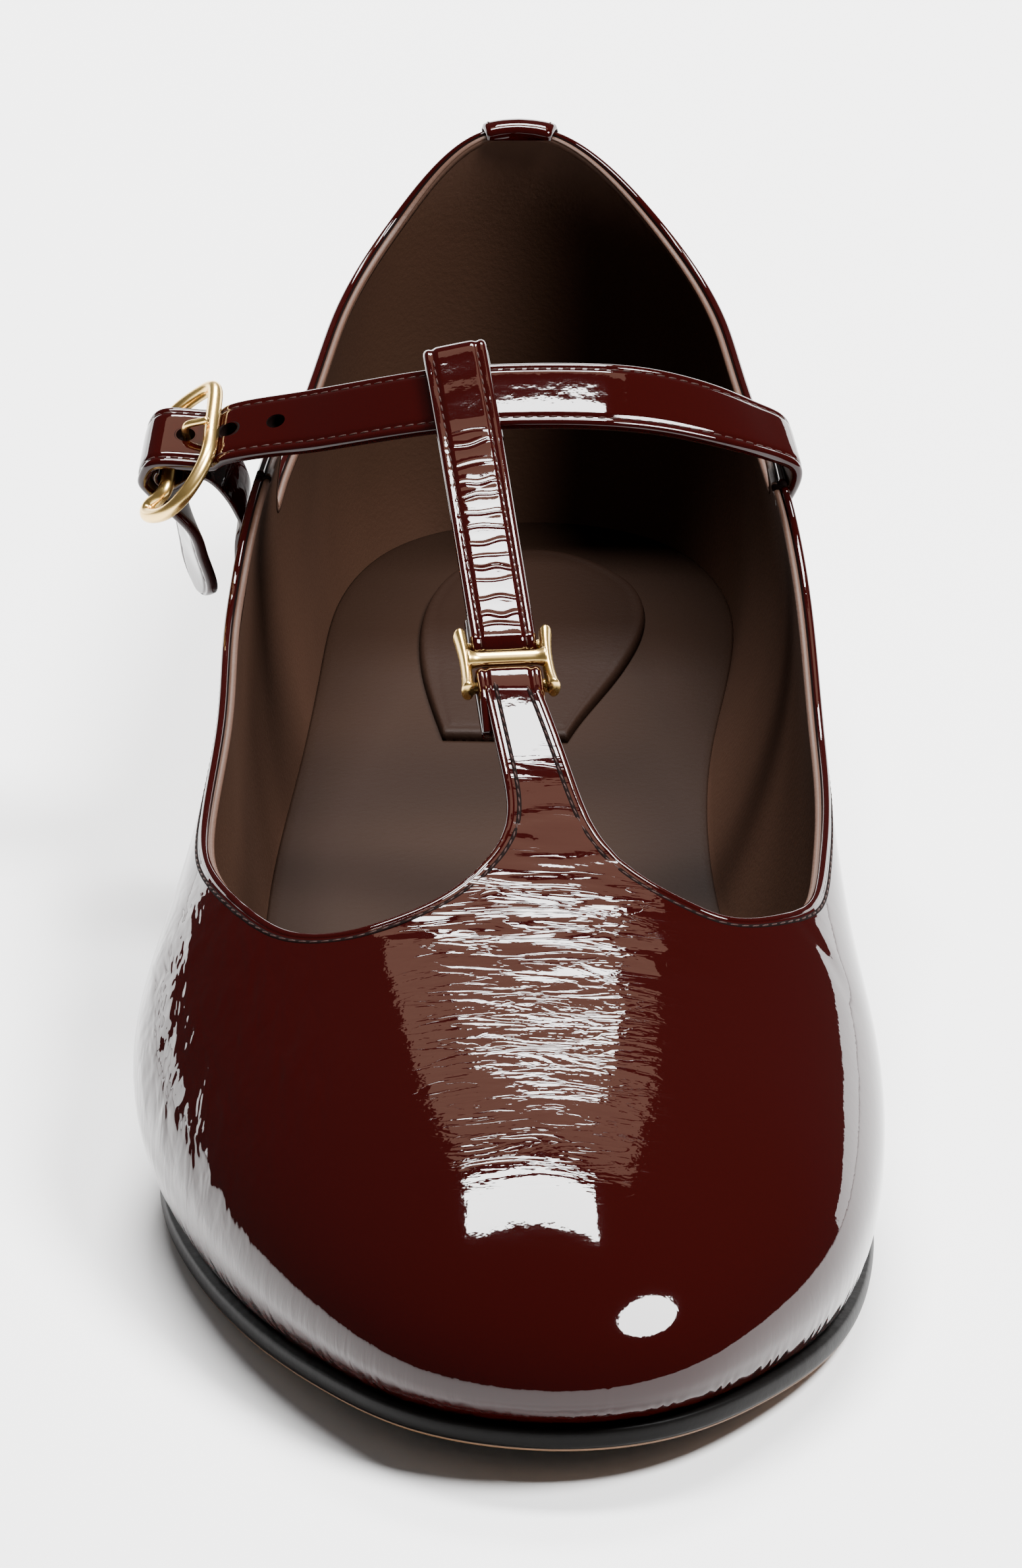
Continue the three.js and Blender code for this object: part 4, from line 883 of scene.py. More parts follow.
def capsule(length, radius, around=6, rings=5):
    turn = np.linspace(-np.pi / 2, np.pi / 2, rings)
    run = np.sin(turn) * radius + np.sign(np.sin(turn).round(6)) * (length / 2 - radius)
    size = np.cos(turn) * radius
    angle = np.arange(around) / around * 2 * np.pi
    x = np.broadcast_to(run[:, None], (rings, around))
    y, z = size[:, None] * np.cos(angle), size[:, None] * np.sin(angle)
    return np.stack([x, y, z], -1).reshape(-1, 3), triangles(grid_faces(rings, around))


def stitch_line(name, place, tangent, normal):
    """Capsules along a path: along the tangent, a little turned, half sunk."""
    index = resample(place, STITCH_PITCH)
    place, tangent, normal = (pick(v, index) for v in (place, tangent, normal))
    tangent = unit(tangent)
    normal = unit(normal - tangent * np.sum(normal * tangent, -1, keepdims=True))
    side = np.cross(normal, tangent)
    run = tangent * math.cos(STITCH_TURN) + side * math.sin(STITCH_TURN)
    across = np.cross(normal, run)
    shape, faces = capsule(STITCH_LENGTH, STITCH_RADIUS)
    centre = place - normal * STITCH_SINK
    points = (centre[:, None] + run[:, None] * shape[None, :, :1]
              + across[:, None] * shape[None, :, 1:2] + normal[:, None] * shape[None, :, 2:])
    count = len(shape)
    every = faces[None] + (np.arange(len(place)) * count)[:, None, None]
    points, every = points.reshape(-1, 3), every.reshape(-1, 3)
    points, every, _ = tidy(points, outward(points, every))
    return mesh_object(name, points, every, [thread])


STITCH_INSET = 1.4
# offsets away from the leather and outwards of the low band, coloured as painted shade, that stands for
# the channel the seam lies in
CHANNEL_PROFILE = np.array([[-0.3, -0.12], [-0.24, 0.015], [0.0, 0.03], [0.24, 0.015], [0.3, -0.12]])
for key, (place, tangent, normal, away) in edge_frames.items():
    points, faces = capped(sweep(place - away * STITCH_INSET, away, normal, CHANNEL_PROFILE))
    # the band's near-black colour is painted shade for the seam's channel
    mesh_object("seam_channel_" + key, points, faces, [recess_shade])
    stitch_line("stitches_" + key, place - away * STITCH_INSET, tangent, normal)

# %% [markdown]
# ## Straps
# A strap is a rounded band that is swept along a smooth path. Its edge direction is part of
# the path, so that it leans with the foot. Patent leather covers the top and both edges,
# lining leather the underside. The path is the one of the solid strap.

# %% Strap section and path
STRAP_HALF = STRAP_THICKNESS / 2
STRAP_STITCH = 1.15
CHANNEL_DEPTH = 0.16


def strap_section(width, thickness, dome=0.1, top=45, corner=5, bottom=7):
    """Closed section of side and outward offsets: a domed top with a sunk channel for each
    seam, two quarter rounds on each side and a flat underside. Returns it with the material
    of each of its faces."""
    w, t = width / 2, thickness / 2
    r = t * 0.9
    arc = np.linspace(0, np.pi, corner * 2 + 1)
    right = np.stack([w - r + r * np.sin(arc), (t - r) * np.sign(np.cos(arc)) + r * np.cos(arc)], -1)
    x = np.linspace(-(w - r), w - r, top)[1:-1]
    channel = CHANNEL_DEPTH * np.exp(-((np.abs(x) - w + STRAP_STITCH) / 0.3) ** 2) * (thickness > 1)
    upper_side = np.stack([x, t + dome * (1 - (x / (w - r)) ** 4) - channel], -1)
    x = np.linspace(w - r, -(w - r), bottom)[1:-1]
    under = np.stack([x, np.full_like(x, -t)], -1)
    left = right[::-1] * [-1, 1]
    section = np.concatenate([upper_side, right, under, left])
    start = len(upper_side) + len(right) - corner // 2
    index = np.zeros(len(section), int)
    index[start - 1:start + len(under) + corner // 2] = 1
    return section, index


def strap_path(rows, count):
    """Places, directions across and outwards along the path of rows with edge directions."""
    curve = open_spline(rows)
    share = np.linspace(0, 1, count)
    here = curve(share)
    ahead, behind = curve(np.minimum(share + 0.004, 1)), curve(np.maximum(share - 0.004, 0))
    heading = unit(ahead[:, :3] - behind[:, :3])
    up = unit(np.cross(unit(here[:, 3:]), heading))
    return here[:, :3], unit(np.cross(heading, up)), -up, heading


BUCKLE_CENTRE = place_of([0.3615, -0.47, 0.832])[0]
BUCKLE_ACROSS = unit(np.array([-0.09, -1.0, -0.36]))
BUCKLE_UP = unit(np.cross([-0.7, 0, -0.71], BUCKLE_ACROSS))
BUCKLE_ALONG = unit(np.cross(BUCKLE_ACROSS, BUCKLE_UP))
BUCKLE_AXES = np.stack([BUCKLE_ALONG, BUCKLE_ACROSS, BUCKLE_UP])
WIRE = 0.9
BAR_ALONG = 3.6
FREE_LIMB = -3.2
PRONG = 0.45
BUCKLE_STRAP_WIDTH = 8.6
BUCKLE_STRAP_THICKNESS = 0.7
UNDER_LIMB = WIRE + FIT_GAP + STRAP_HALF
LOOP_RADIUS = WIRE + FIT_GAP + BUCKLE_STRAP_THICKNESS / 2
OVER_LOOP = LOOP_RADIUS + (BUCKLE_STRAP_THICKNESS + STRAP_THICKNESS) / 2 + FIT_GAP
EAR_ROW = 5.36
EAR_OVERLAP = 3.0


def buckle_point(a, b, h):
    return BUCKLE_CENTRE + np.stack(np.broadcast_arrays(a, b, h), -1) @ BUCKLE_AXES


def round_limb(middle, radius, degrees):
    angle = np.radians(degrees)
    return buckle_point(middle + radius * np.cos(angle), 0.0 * angle, radius * np.sin(angle))


# along, across, up and the direction of the front edge
ANKLE = np.array([
    [0.3635, 0.374, 0.835, 0.2, -1, -0.28], [0.367, 0.346, 0.866, 0.3, -1, -0.36],
    [0.376, 0.297, 0.903, 0.26, -1, -0.42], [0.384, 0.2, 0.948, 0.1, -1, -0.45],
    [0.39, 0.1, 0.97, 0, -1, -0.45], [0.39, -0.03, 0.968, 0, -1, -0.45],
    [0.387, -0.14, 0.95, -0.03, -1, -0.45], [0.376, -0.27, 0.903, -0.06, -1, -0.42],
    [0.368, -0.34, 0.876, -0.08, -1, -0.38],
])
TAIL = np.array([
    [0.3527, -0.486, 0.693, 0.25, -1, -0.32], [0.3503, -0.476, 0.638, 0.38, -1, -0.3],
    [0.3479, -0.467, 0.584, 0.45, -1, -0.28], [0.3455, -0.461, 0.526, 0.45, -1, -0.28],
])
TIP_LENGTH = 3.6


def with_edge(rows):
    return np.concatenate([place_of(rows[:, :3]), rows[:, 3:]], axis=1)


def ankle_rows():
    at = LOOP - EAR_ROW
    depth = UPPER_WALL / 2
    start = wall_point(at, level_at(at, EAR_HEIGHT - EAR_OVERLAP, depth), depth)
    rounds = np.concatenate([round_limb(FREE_LIMB, UNDER_LIMB, np.array([-105.0, -60.0])),
                             round_limb(BAR_ALONG, OVER_LOOP, np.array([115.0, 80, 48, 20]))])
    rounds = np.concatenate([rounds, np.tile(BUCKLE_ACROSS, (6, 1))], axis=1)
    first = np.concatenate([start, [0.06, -1, -0.16]])[None]
    return np.concatenate([first, with_edge(ANKLE), rounds, with_edge(TAIL)])


ankle = strap_path(ankle_rows(), 420)
ankle_length = run_along(ankle[0])
print("ankle strap length", ankle_length[-1].round(1))

# %% [markdown]
# The band of the ankle strap is trimmed by its three round holes in the same way as the
# upper, and each hole gets a dark wall and a dark ground: painted shade that stands for the
# shaded lining behind the hole.

# %% Ankle strap
HOLE_RADIUS = 1.15
HOLE_PITCH = 5.8
HOLE_COLUMNS = 28


def band(name, path, width, thickness, crossed, narrow=None, holes=(), keep=None,
         ripple=0.0, seed=0):
    """Band along a path with rounded section, optional round holes and an optional trim.
    crossed is the depth of its fine wrinkles, one value or one for each ring."""
    middle, across, out = path[:3]
    section, index = strap_section(width, thickness)
    profile = np.broadcast_to(section, (len(middle),) + section.shape).copy()
    if narrow is not None:
        profile[..., 0] *= narrow[:, None]
    rings = sweep(middle, across, out, profile)
    rows, columns = rings.shape[:2]
    if np.any(ripple):
        s = run_along(middle)
        deep = np.broadcast_to(ripple, len(s))[:, None] * (section[None, :, 1] > 0)
        rings += out[:, None] * folds(s[:, None], section[None, :, 0], deep, seed)[..., None]
    points = rings.reshape(-1, 3)
    quads = grid_faces(rows, columns)
    faces = np.concatenate([triangles(quads), cap_faces(rows, columns)])
    face_index = np.concatenate([np.tile(index, (rows - 1) * 2), np.zeros(2 * (columns - 2), int)])
    value = np.full(len(points), 9.0)
    for centre, axis in holes:
        offset = points - centre
        lift = offset @ axis
        radial = np.linalg.norm(offset - lift[:, None] * axis, axis=1)
        value = np.where(np.abs(lift) < 3, np.minimum(value, radial - HOLE_RADIUS), value)
    if keep is not None:
        value = np.minimum(value, keep(points))
    faces = outward(points, faces)
    wrinkled = np.repeat(np.broadcast_to(crossed, rows), columns)
    data = np.concatenate([points, wrinkled[:, None]], axis=1)
    parts = [clip_mesh(data, faces[face_index == which], value) for which in (0, 1)]
    count = len(parts[0][0])
    data = np.concatenate([parts[0][0], parts[1][0]])
    faces = np.concatenate([parts[0][1], parts[1][1] + count])
    face_index = np.repeat([0, 1], [len(parts[0][1]), len(parts[1][1])])
    return mesh_object(name, data[:, :3], faces, [patent_creased, lining],
                       face_material=face_index, floats={"crossed": data[:, 3]})


def folds(run, side, depth, seed):
    """Cross folds of a worn strap: narrow troughs at uneven places that bend with the side
    offset, each a bell across its line, and fade before they reach the seams."""
    rng = np.random.default_rng(seed)
    place, total = run.min(), 0
    while place < run.max():
        place += rng.uniform(1.3, 3.6)
        bend, wave, width = rng.uniform(-0.1, 0.1), rng.uniform(0.1, 0.3), rng.uniform(0.28, 0.55)
        off = run - place - bend * side - wave * np.sin(side * rng.uniform(0.9, 1.8) + place)
        bell = np.exp(-(off / width) ** 2) - 0.55 * np.exp(-(off / width / 2.4) ** 2)
        total = total - rng.uniform(0.35, 1.0) * bell
    return depth * total * np.exp(-(side / 2.75) ** 6)


def tip_narrow(length, tip):
    to_tip = np.clip((length[-1] - length) / tip, 0, 1)
    return np.sqrt(np.maximum(1 - (1 - to_tip) ** 2, 0.0004))


prong_cross = buckle_point(0.25, 0.0, 0.9)
crossing = np.linalg.norm(ankle[0] - prong_cross, axis=1).argmin()
hole_lengths = ankle_length[crossing] - np.arange(3) * HOLE_PITCH
hole_index = np.interp(hole_lengths, ankle_length, np.arange(len(ankle_length)))
hole_middle, hole_across, hole_out = (pick(v, hole_index) for v in ankle[:3])
ankle_holes = list(zip(hole_middle, unit(hole_out)))
ankle_strap = band("ankle_band", ankle, STRAP_WIDTH, STRAP_THICKNESS, 0.03,
                   narrow=tip_narrow(ankle_length, TIP_LENGTH), holes=ankle_holes)
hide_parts("ankle_strap")


def hole_wall(centre, axis, side, depth):
    """Short tube with a rounded rim that lines a hole, closed by a fan at its bottom; its near-black
    colour is painted shade.
    """
    angle = np.arange(HOLE_COLUMNS) / HOLE_COLUMNS * 2 * np.pi
    other = np.cross(axis, side)
    ring = np.cos(angle)[:, None] * side + np.sin(angle)[:, None] * other
    profile = [(0.32, depth + 0.02), (0.16, depth + 0.1), (0.02, depth + 0.04),
               (-0.03, depth - 0.12), (-0.03, -depth + 0.16), (-0.2, -depth + 0.08)]
    rings = np.array([centre + ring * (HOLE_RADIUS + r) + axis * h for r, h in profile])
    ground = cap_faces(len(profile), HOLE_COLUMNS)[HOLE_COLUMNS - 2:]
    faces = np.concatenate([triangles(grid_faces(len(profile), HOLE_COLUMNS)), ground])
    return rings.reshape(-1, 3), faces


walls, wall_faces, offset = [], [], 0
for middle, across, out in zip(hole_middle, unit(hole_across), unit(hole_out)):
    side = unit(across - out * (across @ out))
    points, faces = hole_wall(middle, out, side, STRAP_HALF)
    walls.append(points)
    wall_faces.append(faces + offset)
    offset += len(points)
# walls and closing fans of the holes take the near-black painted-shade material
mesh_object("strap_hole_walls", np.concatenate(walls), np.concatenate(wall_faces)[:, ::-1],
            [recess_shade])


def strap_stitches(name, path, width, skip_start, skip_end):
    """Two seams along both edges of a band, on its top."""
    middle, across, out, heading = path
    length = run_along(middle)
    keep = (length > skip_start) & (length < length[-1] - skip_end)
    for label, side in (("back", -1), ("front", 1)):
        reach = width / 2 - STRAP_STITCH
        place = middle + across * side * reach + out * (STRAP_HALF - CHANNEL_DEPTH * 0.6)
        stitch_line(name + "_" + label, place[keep], heading[keep], out[keep])


strap_stitches("ankle_stitches", ankle, STRAP_WIDTH, 6.0, TIP_LENGTH)

# %% [markdown]
# The T-strap folds round the ankle strap at its top and round the upper bar of the link at
# its foot. It lies in one plane, and rolls a little towards the slope of the ankle strap.

# %% T-strap and the tab's fold
LINK_UPPER_BAR = 4.5
LINK_LOWER_BAR = 2.9
LINK_HALF_LENGTH = 5.5
LINK_FROM_TAB = 6.0
LINK_BAR = 1.2
LINK_LIMB = 1.4
FOLD_RADIUS = LINK_BAR / 2 + FIT_GAP + STRAP_HALF
FOLD_RETURN = 7.0
LOOP_LIFT = STRAP_THICKNESS + 1.5 * SEAT_GAP
LOOP_HALF = STRAP_WIDTH / 2 + SEAT_GAP + STRAP_HALF + 2 * LOOSE_GAP

loop_place = place_of([0.39, -0.086, 0.964])[0]
loop_stop = np.linalg.norm(ankle[0] - loop_place, axis=1).argmin()
stop_middle, stop_across, stop_out = (v[loop_stop] for v in ankle[:3])
tab_y = along_y(TAB_END)
tab_end = np.array([0, tab_y, crest_at(tab_y) - STRAP_HALF])
TEE_ALONG = unit(stop_middle - tab_end)
LINK_PLACE = tab_end + TEE_ALONG * LINK_FROM_TAB
TEE_LENGTH = np.linalg.norm(stop_middle - LINK_PLACE)
TEE_ACROSS = unit(np.cross(TEE_ALONG, [0, 0, 1]))
TEE_UP = unit(np.cross(TEE_ACROSS, TEE_ALONG))
LOOP_ROLL = math.atan2(-stop_out @ TEE_ACROSS, stop_out @ TEE_UP)
LOOP_SLANT = math.atan2(-stop_across @ TEE_UP, -stop_across @ TEE_ALONG)


def rolled(s):
    share = np.clip(s / TEE_LENGTH, 0, 1)
    angle = (LOOP_ROLL * share * share * (3 - 2 * share))[..., None]
    across = TEE_ACROSS * np.cos(angle) + TEE_UP * np.sin(angle)
    return across, TEE_UP * np.cos(angle) - TEE_ACROSS * np.sin(angle)


def tee_path(places, count):
    """Path of a band in the plane of the T-strap, through places along and up."""
    curve = open_spline(np.asarray(places, float))
    share = np.linspace(0, 1, count)
    here, step = curve(share), curve(share + 1e-4) - curve(share - 1e-4)
    ds, dh = unit(step).T
    s, h = here.T
    across, up = rolled(s)
    middle = LINK_PLACE + TEE_ALONG * s[:, None] + up * h[:, None]
    out = up * ds[:, None] - TEE_ALONG * dh[:, None]
    heading = TEE_ALONG * ds[:, None] + up * dh[:, None]
    return middle, across, out, heading


def fold_arc(centre_s, centre_h, radius, start, end, count):
    angle = np.radians(np.linspace(start, end, count))
    return np.stack([centre_s + radius * np.cos(angle), centre_h + radius * np.sin(angle)], -1)


def slanted(places):
    s, h = np.asarray(places, float).T
    c, d = math.cos(LOOP_SLANT), math.sin(LOOP_SLANT)
    return np.stack([TEE_LENGTH + s * c - h * d, s * d + h * c], -1)


far = LOOP_HALF - LOOP_LIFT
loop_places = slanted(np.concatenate([
    [[1.5 - LOOP_HALF, -LOOP_LIFT], [-2, -LOOP_LIFT], [1.5, -LOOP_LIFT], [far, -LOOP_LIFT]],
    fold_arc(far, 0, LOOP_LIFT, -60, 60, 5),
    [[far, LOOP_LIFT], [1.5, LOOP_LIFT + 0.12], [-2, LOOP_LIFT + 0.27],
     [0.5 - LOOP_HALF, LOOP_LIFT + 0.42]]]))
tee_places = np.concatenate([
    loop_places,
    [[TEE_LENGTH - LOOP_HALF - 4, LOOP_LIFT * 0.3], [TEE_LENGTH * 0.62, 0.05],
     [TEE_LENGTH * 0.4, 0], [LINK_UPPER_BAR + 4.5, 0], [LINK_UPPER_BAR + 1.8, 0]],
    fold_arc(LINK_UPPER_BAR, -FOLD_RADIUS, FOLD_RADIUS, 90, 270, 9),
    [[LINK_UPPER_BAR + 2.5, -2 * FOLD_RADIUS],
     [LINK_UPPER_BAR + FOLD_RETURN, -2 * FOLD_RADIUS]]])
tee = tee_path(tee_places, 900)
tee = (tee[0], -tee[1], -tee[2], tee[3])
tee_run = run_along(tee[0])
# the creased part runs from below the loop to the link
tee_worn = smooth(27.0, 33.0, tee_run) * (1 - smooth(tee_run[-1] - 12, tee_run[-1] - 9, tee_run))
tee_strap = band("tee_band", tee, TEE_WIDTH, STRAP_THICKNESS, 0.02 + 0.04 * tee_worn,
                 ripple=0.15 * tee_worn, seed=8)
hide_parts("tee_strap")
strap_stitches("tee_stitches", tee, TEE_WIDTH, 18.0, 11.0)

tab_places = np.concatenate([
    [[-LINK_LOWER_BAR - 8.4, -1.9], [-LINK_LOWER_BAR - 5.4, -0.85],
     [-LINK_LOWER_BAR - 3.4, -0.3], [-LINK_LOWER_BAR - 1.5, -0.05]],
    fold_arc(-LINK_LOWER_BAR, -FOLD_RADIUS, FOLD_RADIUS, 90, -90, 9),
    [[-LINK_LOWER_BAR - 2.5, -2 * FOLD_RADIUS],
     [-LINK_LOWER_BAR - FOLD_RETURN, -2 * FOLD_RADIUS]]])
band("tab_fold", tee_path(tab_places, 160), TEE_WIDTH, STRAP_THICKNESS, 0.05)
print("t-strap length", tee_run[-1].round(1), "roll", LOOP_ROLL, "slant", LOOP_SLANT)

# %% [markdown]
# ## Hardware
# The buckle's frame is a round wire bent into a closed loop, the prong a thinner rod with an
# eye. The plain link is cast: two limbs that flare at their ends, a raised bar between them
# and a low bar under each fold.

# %% Gold hardware
FRAME_ROWS = np.array([
    [-2.75, -6], [-3, -3], [-3.2, 0.4], [-3.35, 3.8], [-2.3, 7], [-0.2, 9.5], [2.6, 10.4],
    [5.3, 9.3], [6.5, 7.9], [5.9, 6.8], [4.4, 6.5], [3.6, 5], [3.6, 2.5], [3.6, 0],
    [3.6, -2.5], [3.6, -4.9], [4.4, -6.1], [5.2, -6.6], [4.9, -7.9], [2.6, -8.6], [0, -8.6],
    [-2, -8],
])


def tube(places, axis, radius, around=20, loop=False, flat=1.0):
    """Rod of round section along a path that lies in a plane square to axis."""
    step = np.roll(places, -1, axis=0) - np.roll(places, 1, axis=0)
    if not loop:
        step[0], step[-1] = places[1] - places[0], places[-1] - places[-2]
    side = unit(np.cross(unit(step), axis))
    angle = np.arange(around) / around * 2 * np.pi
    radius = np.broadcast_to(radius, len(places))
    profile = np.stack([np.cos(angle), np.sin(angle) * flat], -1)[None] * radius[:, None, None]
    rings = sweep(places, side, np.broadcast_to(axis, places.shape), profile)
    if not loop:
        return capped(rings)
    points = rings.reshape(-1, 3)
    return points, outward(points, triangles(grid_faces(*rings.shape[:2], close_rows=True)))


frame_curve = closed_spline(FRAME_ROWS)
flat_path = frame_curve(np.arange(220) * len(FRAME_ROWS) / 220)
frame_path = buckle_point(flat_path[:, 0], flat_path[:, 1], 0.0)
points, faces = tube(frame_path, BUCKLE_UP, WIRE, loop=True)
buckle_frame = mesh_object("buckle_wire", points, faces, [gold])
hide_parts("buckle_frame")

EYE_RADIUS = WIRE + FIT_GAP + PRONG
turn = np.arange(48) / 48 * 2 * np.pi
eye_path = buckle_point(BAR_ALONG + EYE_RADIUS * np.cos(turn), 0.0, EYE_RADIUS * np.sin(turn))
eye_points, eye_faces = tube(eye_path, BUCKLE_ACROSS, PRONG, 14, loop=True)
rod_curve = open_spline(np.array([
    [BAR_ALONG - EYE_RADIUS, 0], [1.2, -0.1], [0.25, 0.8], [-0.6, 1.9], [-1.4, 2.3],
    [-2.3, 2.05], [FREE_LIMB, EYE_RADIUS], [FREE_LIMB - 0.9, EYE_RADIUS - 0.3]]))
share = np.linspace(0, 1, 70)
rod = rod_curve(share)
taper = PRONG * np.sqrt(np.clip((1.0 - share) / 0.035, 0.01, 1))
rod_points, rod_faces = tube(buckle_point(rod[:, 0], 0.0, rod[:, 1]), BUCKLE_ACROSS, taper, 14)
prong = mesh_object("buckle_pin", np.concatenate([eye_points, rod_points]),
                    np.concatenate([eye_faces, rod_faces + len(eye_points)]), [gold])
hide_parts("buckle_prong")


def bowed_limb(side):
    """Tall rounded limb along the link: it bows in at the raised bar and flares out at both
    ends, where it also grows thicker."""
    s = np.linspace(-LINK_HALF_LENGTH, LINK_HALF_LENGTH, 60)
    share = np.abs(s) / LINK_HALF_LENGTH
    across = side * (TEE_WIDTH / 2 + FIT_GAP + LINK_LIMB * (0.46 + 0.2 * share ** 2))
    height = -0.55 + 0.35 * share ** 3
    close = np.sqrt(np.clip((1 - share) / 0.07, 0.002, 1))
    half_wide = (0.64 + 0.14 * share ** 2) * close
    half_tall = (1.15 + 0.2 * share ** 2) * close
    angle = np.arange(24) / 24 * 2 * np.pi
    x = across[:, None] + half_wide[:, None] * np.cos(angle)
    h = height[:, None] + half_tall[:, None] * np.sin(angle)
    return capped(LINK_PLACE + TEE_ALONG * s[:, None, None] + TEE_ACROSS * x[..., None]
                  + TEE_UP * h[..., None])


def link_bar(along, height, radius, tall):
    """Round bar from limb to limb that swells where it meets them."""
    reach = TEE_WIDTH / 2 + FIT_GAP + 0.5
    x = np.linspace(-reach, reach, 40)
    swell = radius * (1 + 0.45 * np.exp(-((reach - np.abs(x)) / 0.7) ** 2))
    path = (LINK_PLACE + TEE_ALONG * along + TEE_UP * height
            + TEE_ACROSS * x[:, None])
    return tube(path, TEE_UP, swell, flat=tall)


link_parts = [bowed_limb(-1), bowed_limb(1), link_bar(0.0, 0.3, 0.92, 0.9),
              link_bar(LINK_UPPER_BAR, -FOLD_RADIUS, 0.6, 1.0),
              link_bar(-LINK_LOWER_BAR, -FOLD_RADIUS, 0.6, 1.0)]
link_offsets = np.cumsum([0] + [len(part[0]) for part in link_parts])
link = mesh_object("plain_link", np.concatenate([part[0] for part in link_parts]),
                   np.concatenate([part[1] + first for part, first
                                   in zip(link_parts, link_offsets)]), [gold])
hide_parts("tee_link")

# %% [markdown]
# ## Short strap of the buckle
# It rises from the lateral quarter, folds round the recessed bar under the ankle strap and
# has a slot for the prong's eye.

# %% Buckle strap
BUCKLE_STRAP_HEIGHTS = (40.94, 43.47, 46.0, 48.53)


def buckle_strap_rows():
    out = -(LOOSE_GAP + BUCKLE_STRAP_THICKNESS / 2)
    heights = np.array(BUCKLE_STRAP_HEIGHTS)
    at = np.full(4, EAR_ROW)
    wall = wall_point(at, level_at(at, heights, out), out)
    away = buckle_point(BAR_ALONG - 3.4, 0.0, -LOOP_RADIUS - 1)[None]
    arc = round_limb(BAR_ALONG, LOOP_RADIUS, np.array([-90.0, -60, -30, 0, 30, 60, 85]))
    places = np.concatenate([wall, away, arc])
    share = np.clip(np.arange(len(places)) / 4, 0, 1)[:, None]
    start = np.array([0.02, -1, 0])
    return np.concatenate([places, start + (BUCKLE_ACROSS - start) * share], axis=1)


def slot_left(points):
    a, b, h = ((points - BUCKLE_CENTRE) @ BUCKLE_AXES.T).T
    reach = WIRE + 2 * (FIT_GAP + BUCKLE_STRAP_THICKNESS)
    return np.maximum(np.abs(b) - PRONG - FIT_GAP,
                      np.maximum(np.abs(a - BAR_ALONG), np.abs(h)) - reach)


short = strap_path(buckle_strap_rows(), 170)
buckle_strap = band("buckle_band", short, BUCKLE_STRAP_WIDTH, BUCKLE_STRAP_THICKNESS, 0.3,
                    keep=slot_left)
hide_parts("buckle_strap")

# %% [markdown]
# ## Back tab
# A small patent patch is folded over the topline at the back of the heel. It is a thin sheet
# that follows the last outside, crosses the topline and ends just inside.

# %% Back tab
TAB_WIDTH = 10.0
TAB_LENGTH = 22.0
TAB_THICKNESS = 0.7
TAB_GAP = 0.5
TAB_INSIDE = 0.4


def back_patch():
    """Grid across (at) and along (down the outside, over the edge, down the inside), with
    a rounded outer side and an inner side close to the leather."""
    reach = TAB_WIDTH / 2 / (0.158 * SOLE_WIDTH)
    columns = 33
    share = np.linspace(-1, 1, columns)
    at = np.mod(share * reach, LOOP)
    top = collar_top(at)
    drop = np.linspace(TAB_LENGTH, 0, 40)[:, None]
    outside = wall_point(at + 0 * drop, level_at(at + 0 * drop, top - drop, -0.4), -0.4)
    angle = np.radians(np.linspace(0, 180, 13)[1:-1])[:, None, None]
    edge = outside[-1]
    inner = unit(last_normal(at, level_at(at, top)) * [1, 1, 0])
    depth = UPPER_WALL + 0.4 + 0.35
    middle = edge - inner * depth / 2
    over = middle + inner * depth / 2 * np.cos(angle) + np.array([0, 0, 0.45]) * np.sin(angle)
    inside_drop = np.linspace(0, TAB_INSIDE, 8)[:, None, None]
    inside = edge - inner * depth - np.array([0, 0, 1]) * inside_drop
    base = np.concatenate([outside, over, inside])
    run = unit(np.gradient(base, axis=0))
    side = unit(np.gradient(base, axis=1))
    out = unit(np.cross(side, run))
    if np.sum(out[0] * (base[0] * [1, 1, 0])) < 0:
        out = -out
    thick = TAB_THICKNESS * np.sqrt(np.maximum(1 - share ** 16, 0.0))[None, :, None]
    outer = base + out * (thick * 0.75 + 0.02)
    under = base - out * 0.25 * (thick + 0.02)
    return np.concatenate([outer, under[:, ::-1]], axis=1)


rings = back_patch()
points, faces = capped(rings)
back_tab = mesh_object("back_patch", points, faces, [patent])
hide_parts("back_tab")
half = rings.shape[1] // 2
for label, column in (("left", 3), ("right", half - 4)):
    line = rings[4:44, column]
    line_run = unit(np.gradient(line, axis=0))
    line_out = unit(np.cross(unit(np.gradient(rings, axis=1))[4:44, column], line_run))
    stitch_line("tab_stitches_" + label, line, line_run, line_out)

# %% [markdown]
# ## Sole, footbed and heel pad
# The outsole's edge is painted black and slightly round. Only its lowest half millimetre
# shows the leather. The footbed fills the inside and the heel pad lies on it with a soft,
# rounded edge.

# %% Outsole and heel lift
SOLE_COLUMNS = LOOP * 22
sole_at = np.arange(SOLE_COLUMNS) / 22
# inset and height share of each ring of the edge, from the underside to the top
SOLE_EDGE = np.array([
    [3.2, 0.0], [1.1, 0.0], [0.7, 0.015], [0.5, 0.06], [0.42, 0.14], [0.44, 0.165],
    [0.3, 0.19], [0.12, 0.3], [0.02, 0.5], [0.0, 0.65], [0.08, 0.82], [0.2, 0.93], [0.42, 1.0],
    [3.4, 1.0],
])
SOLE_MATERIAL = np.array([1, 1, 1, 1, 0, 0, 0, 0, 0, 0, 0, 0, 0])


def zip_faces(columns, offset, flip):
    """Strip that closes a symmetric ring from one side to the other."""
    j = np.arange(1, columns // 2)
    a, b = j, (columns - j) % columns
    c, d = (columns - j - 1), j + 1
    first = np.stack([np.array([0]), np.array([columns - 1]), np.array([1])], -1)
    strip = np.concatenate([first, np.stack([a[:-1], b[:-1], c[:-1]], -1),
                            np.stack([a[:-1], c[:-1], d[:-1]], -1),
                            np.array([[columns // 2 - 1, columns // 2 + 1, columns // 2]])])
    strip = strip + offset
    return strip[:, ::-1] if flip else strip


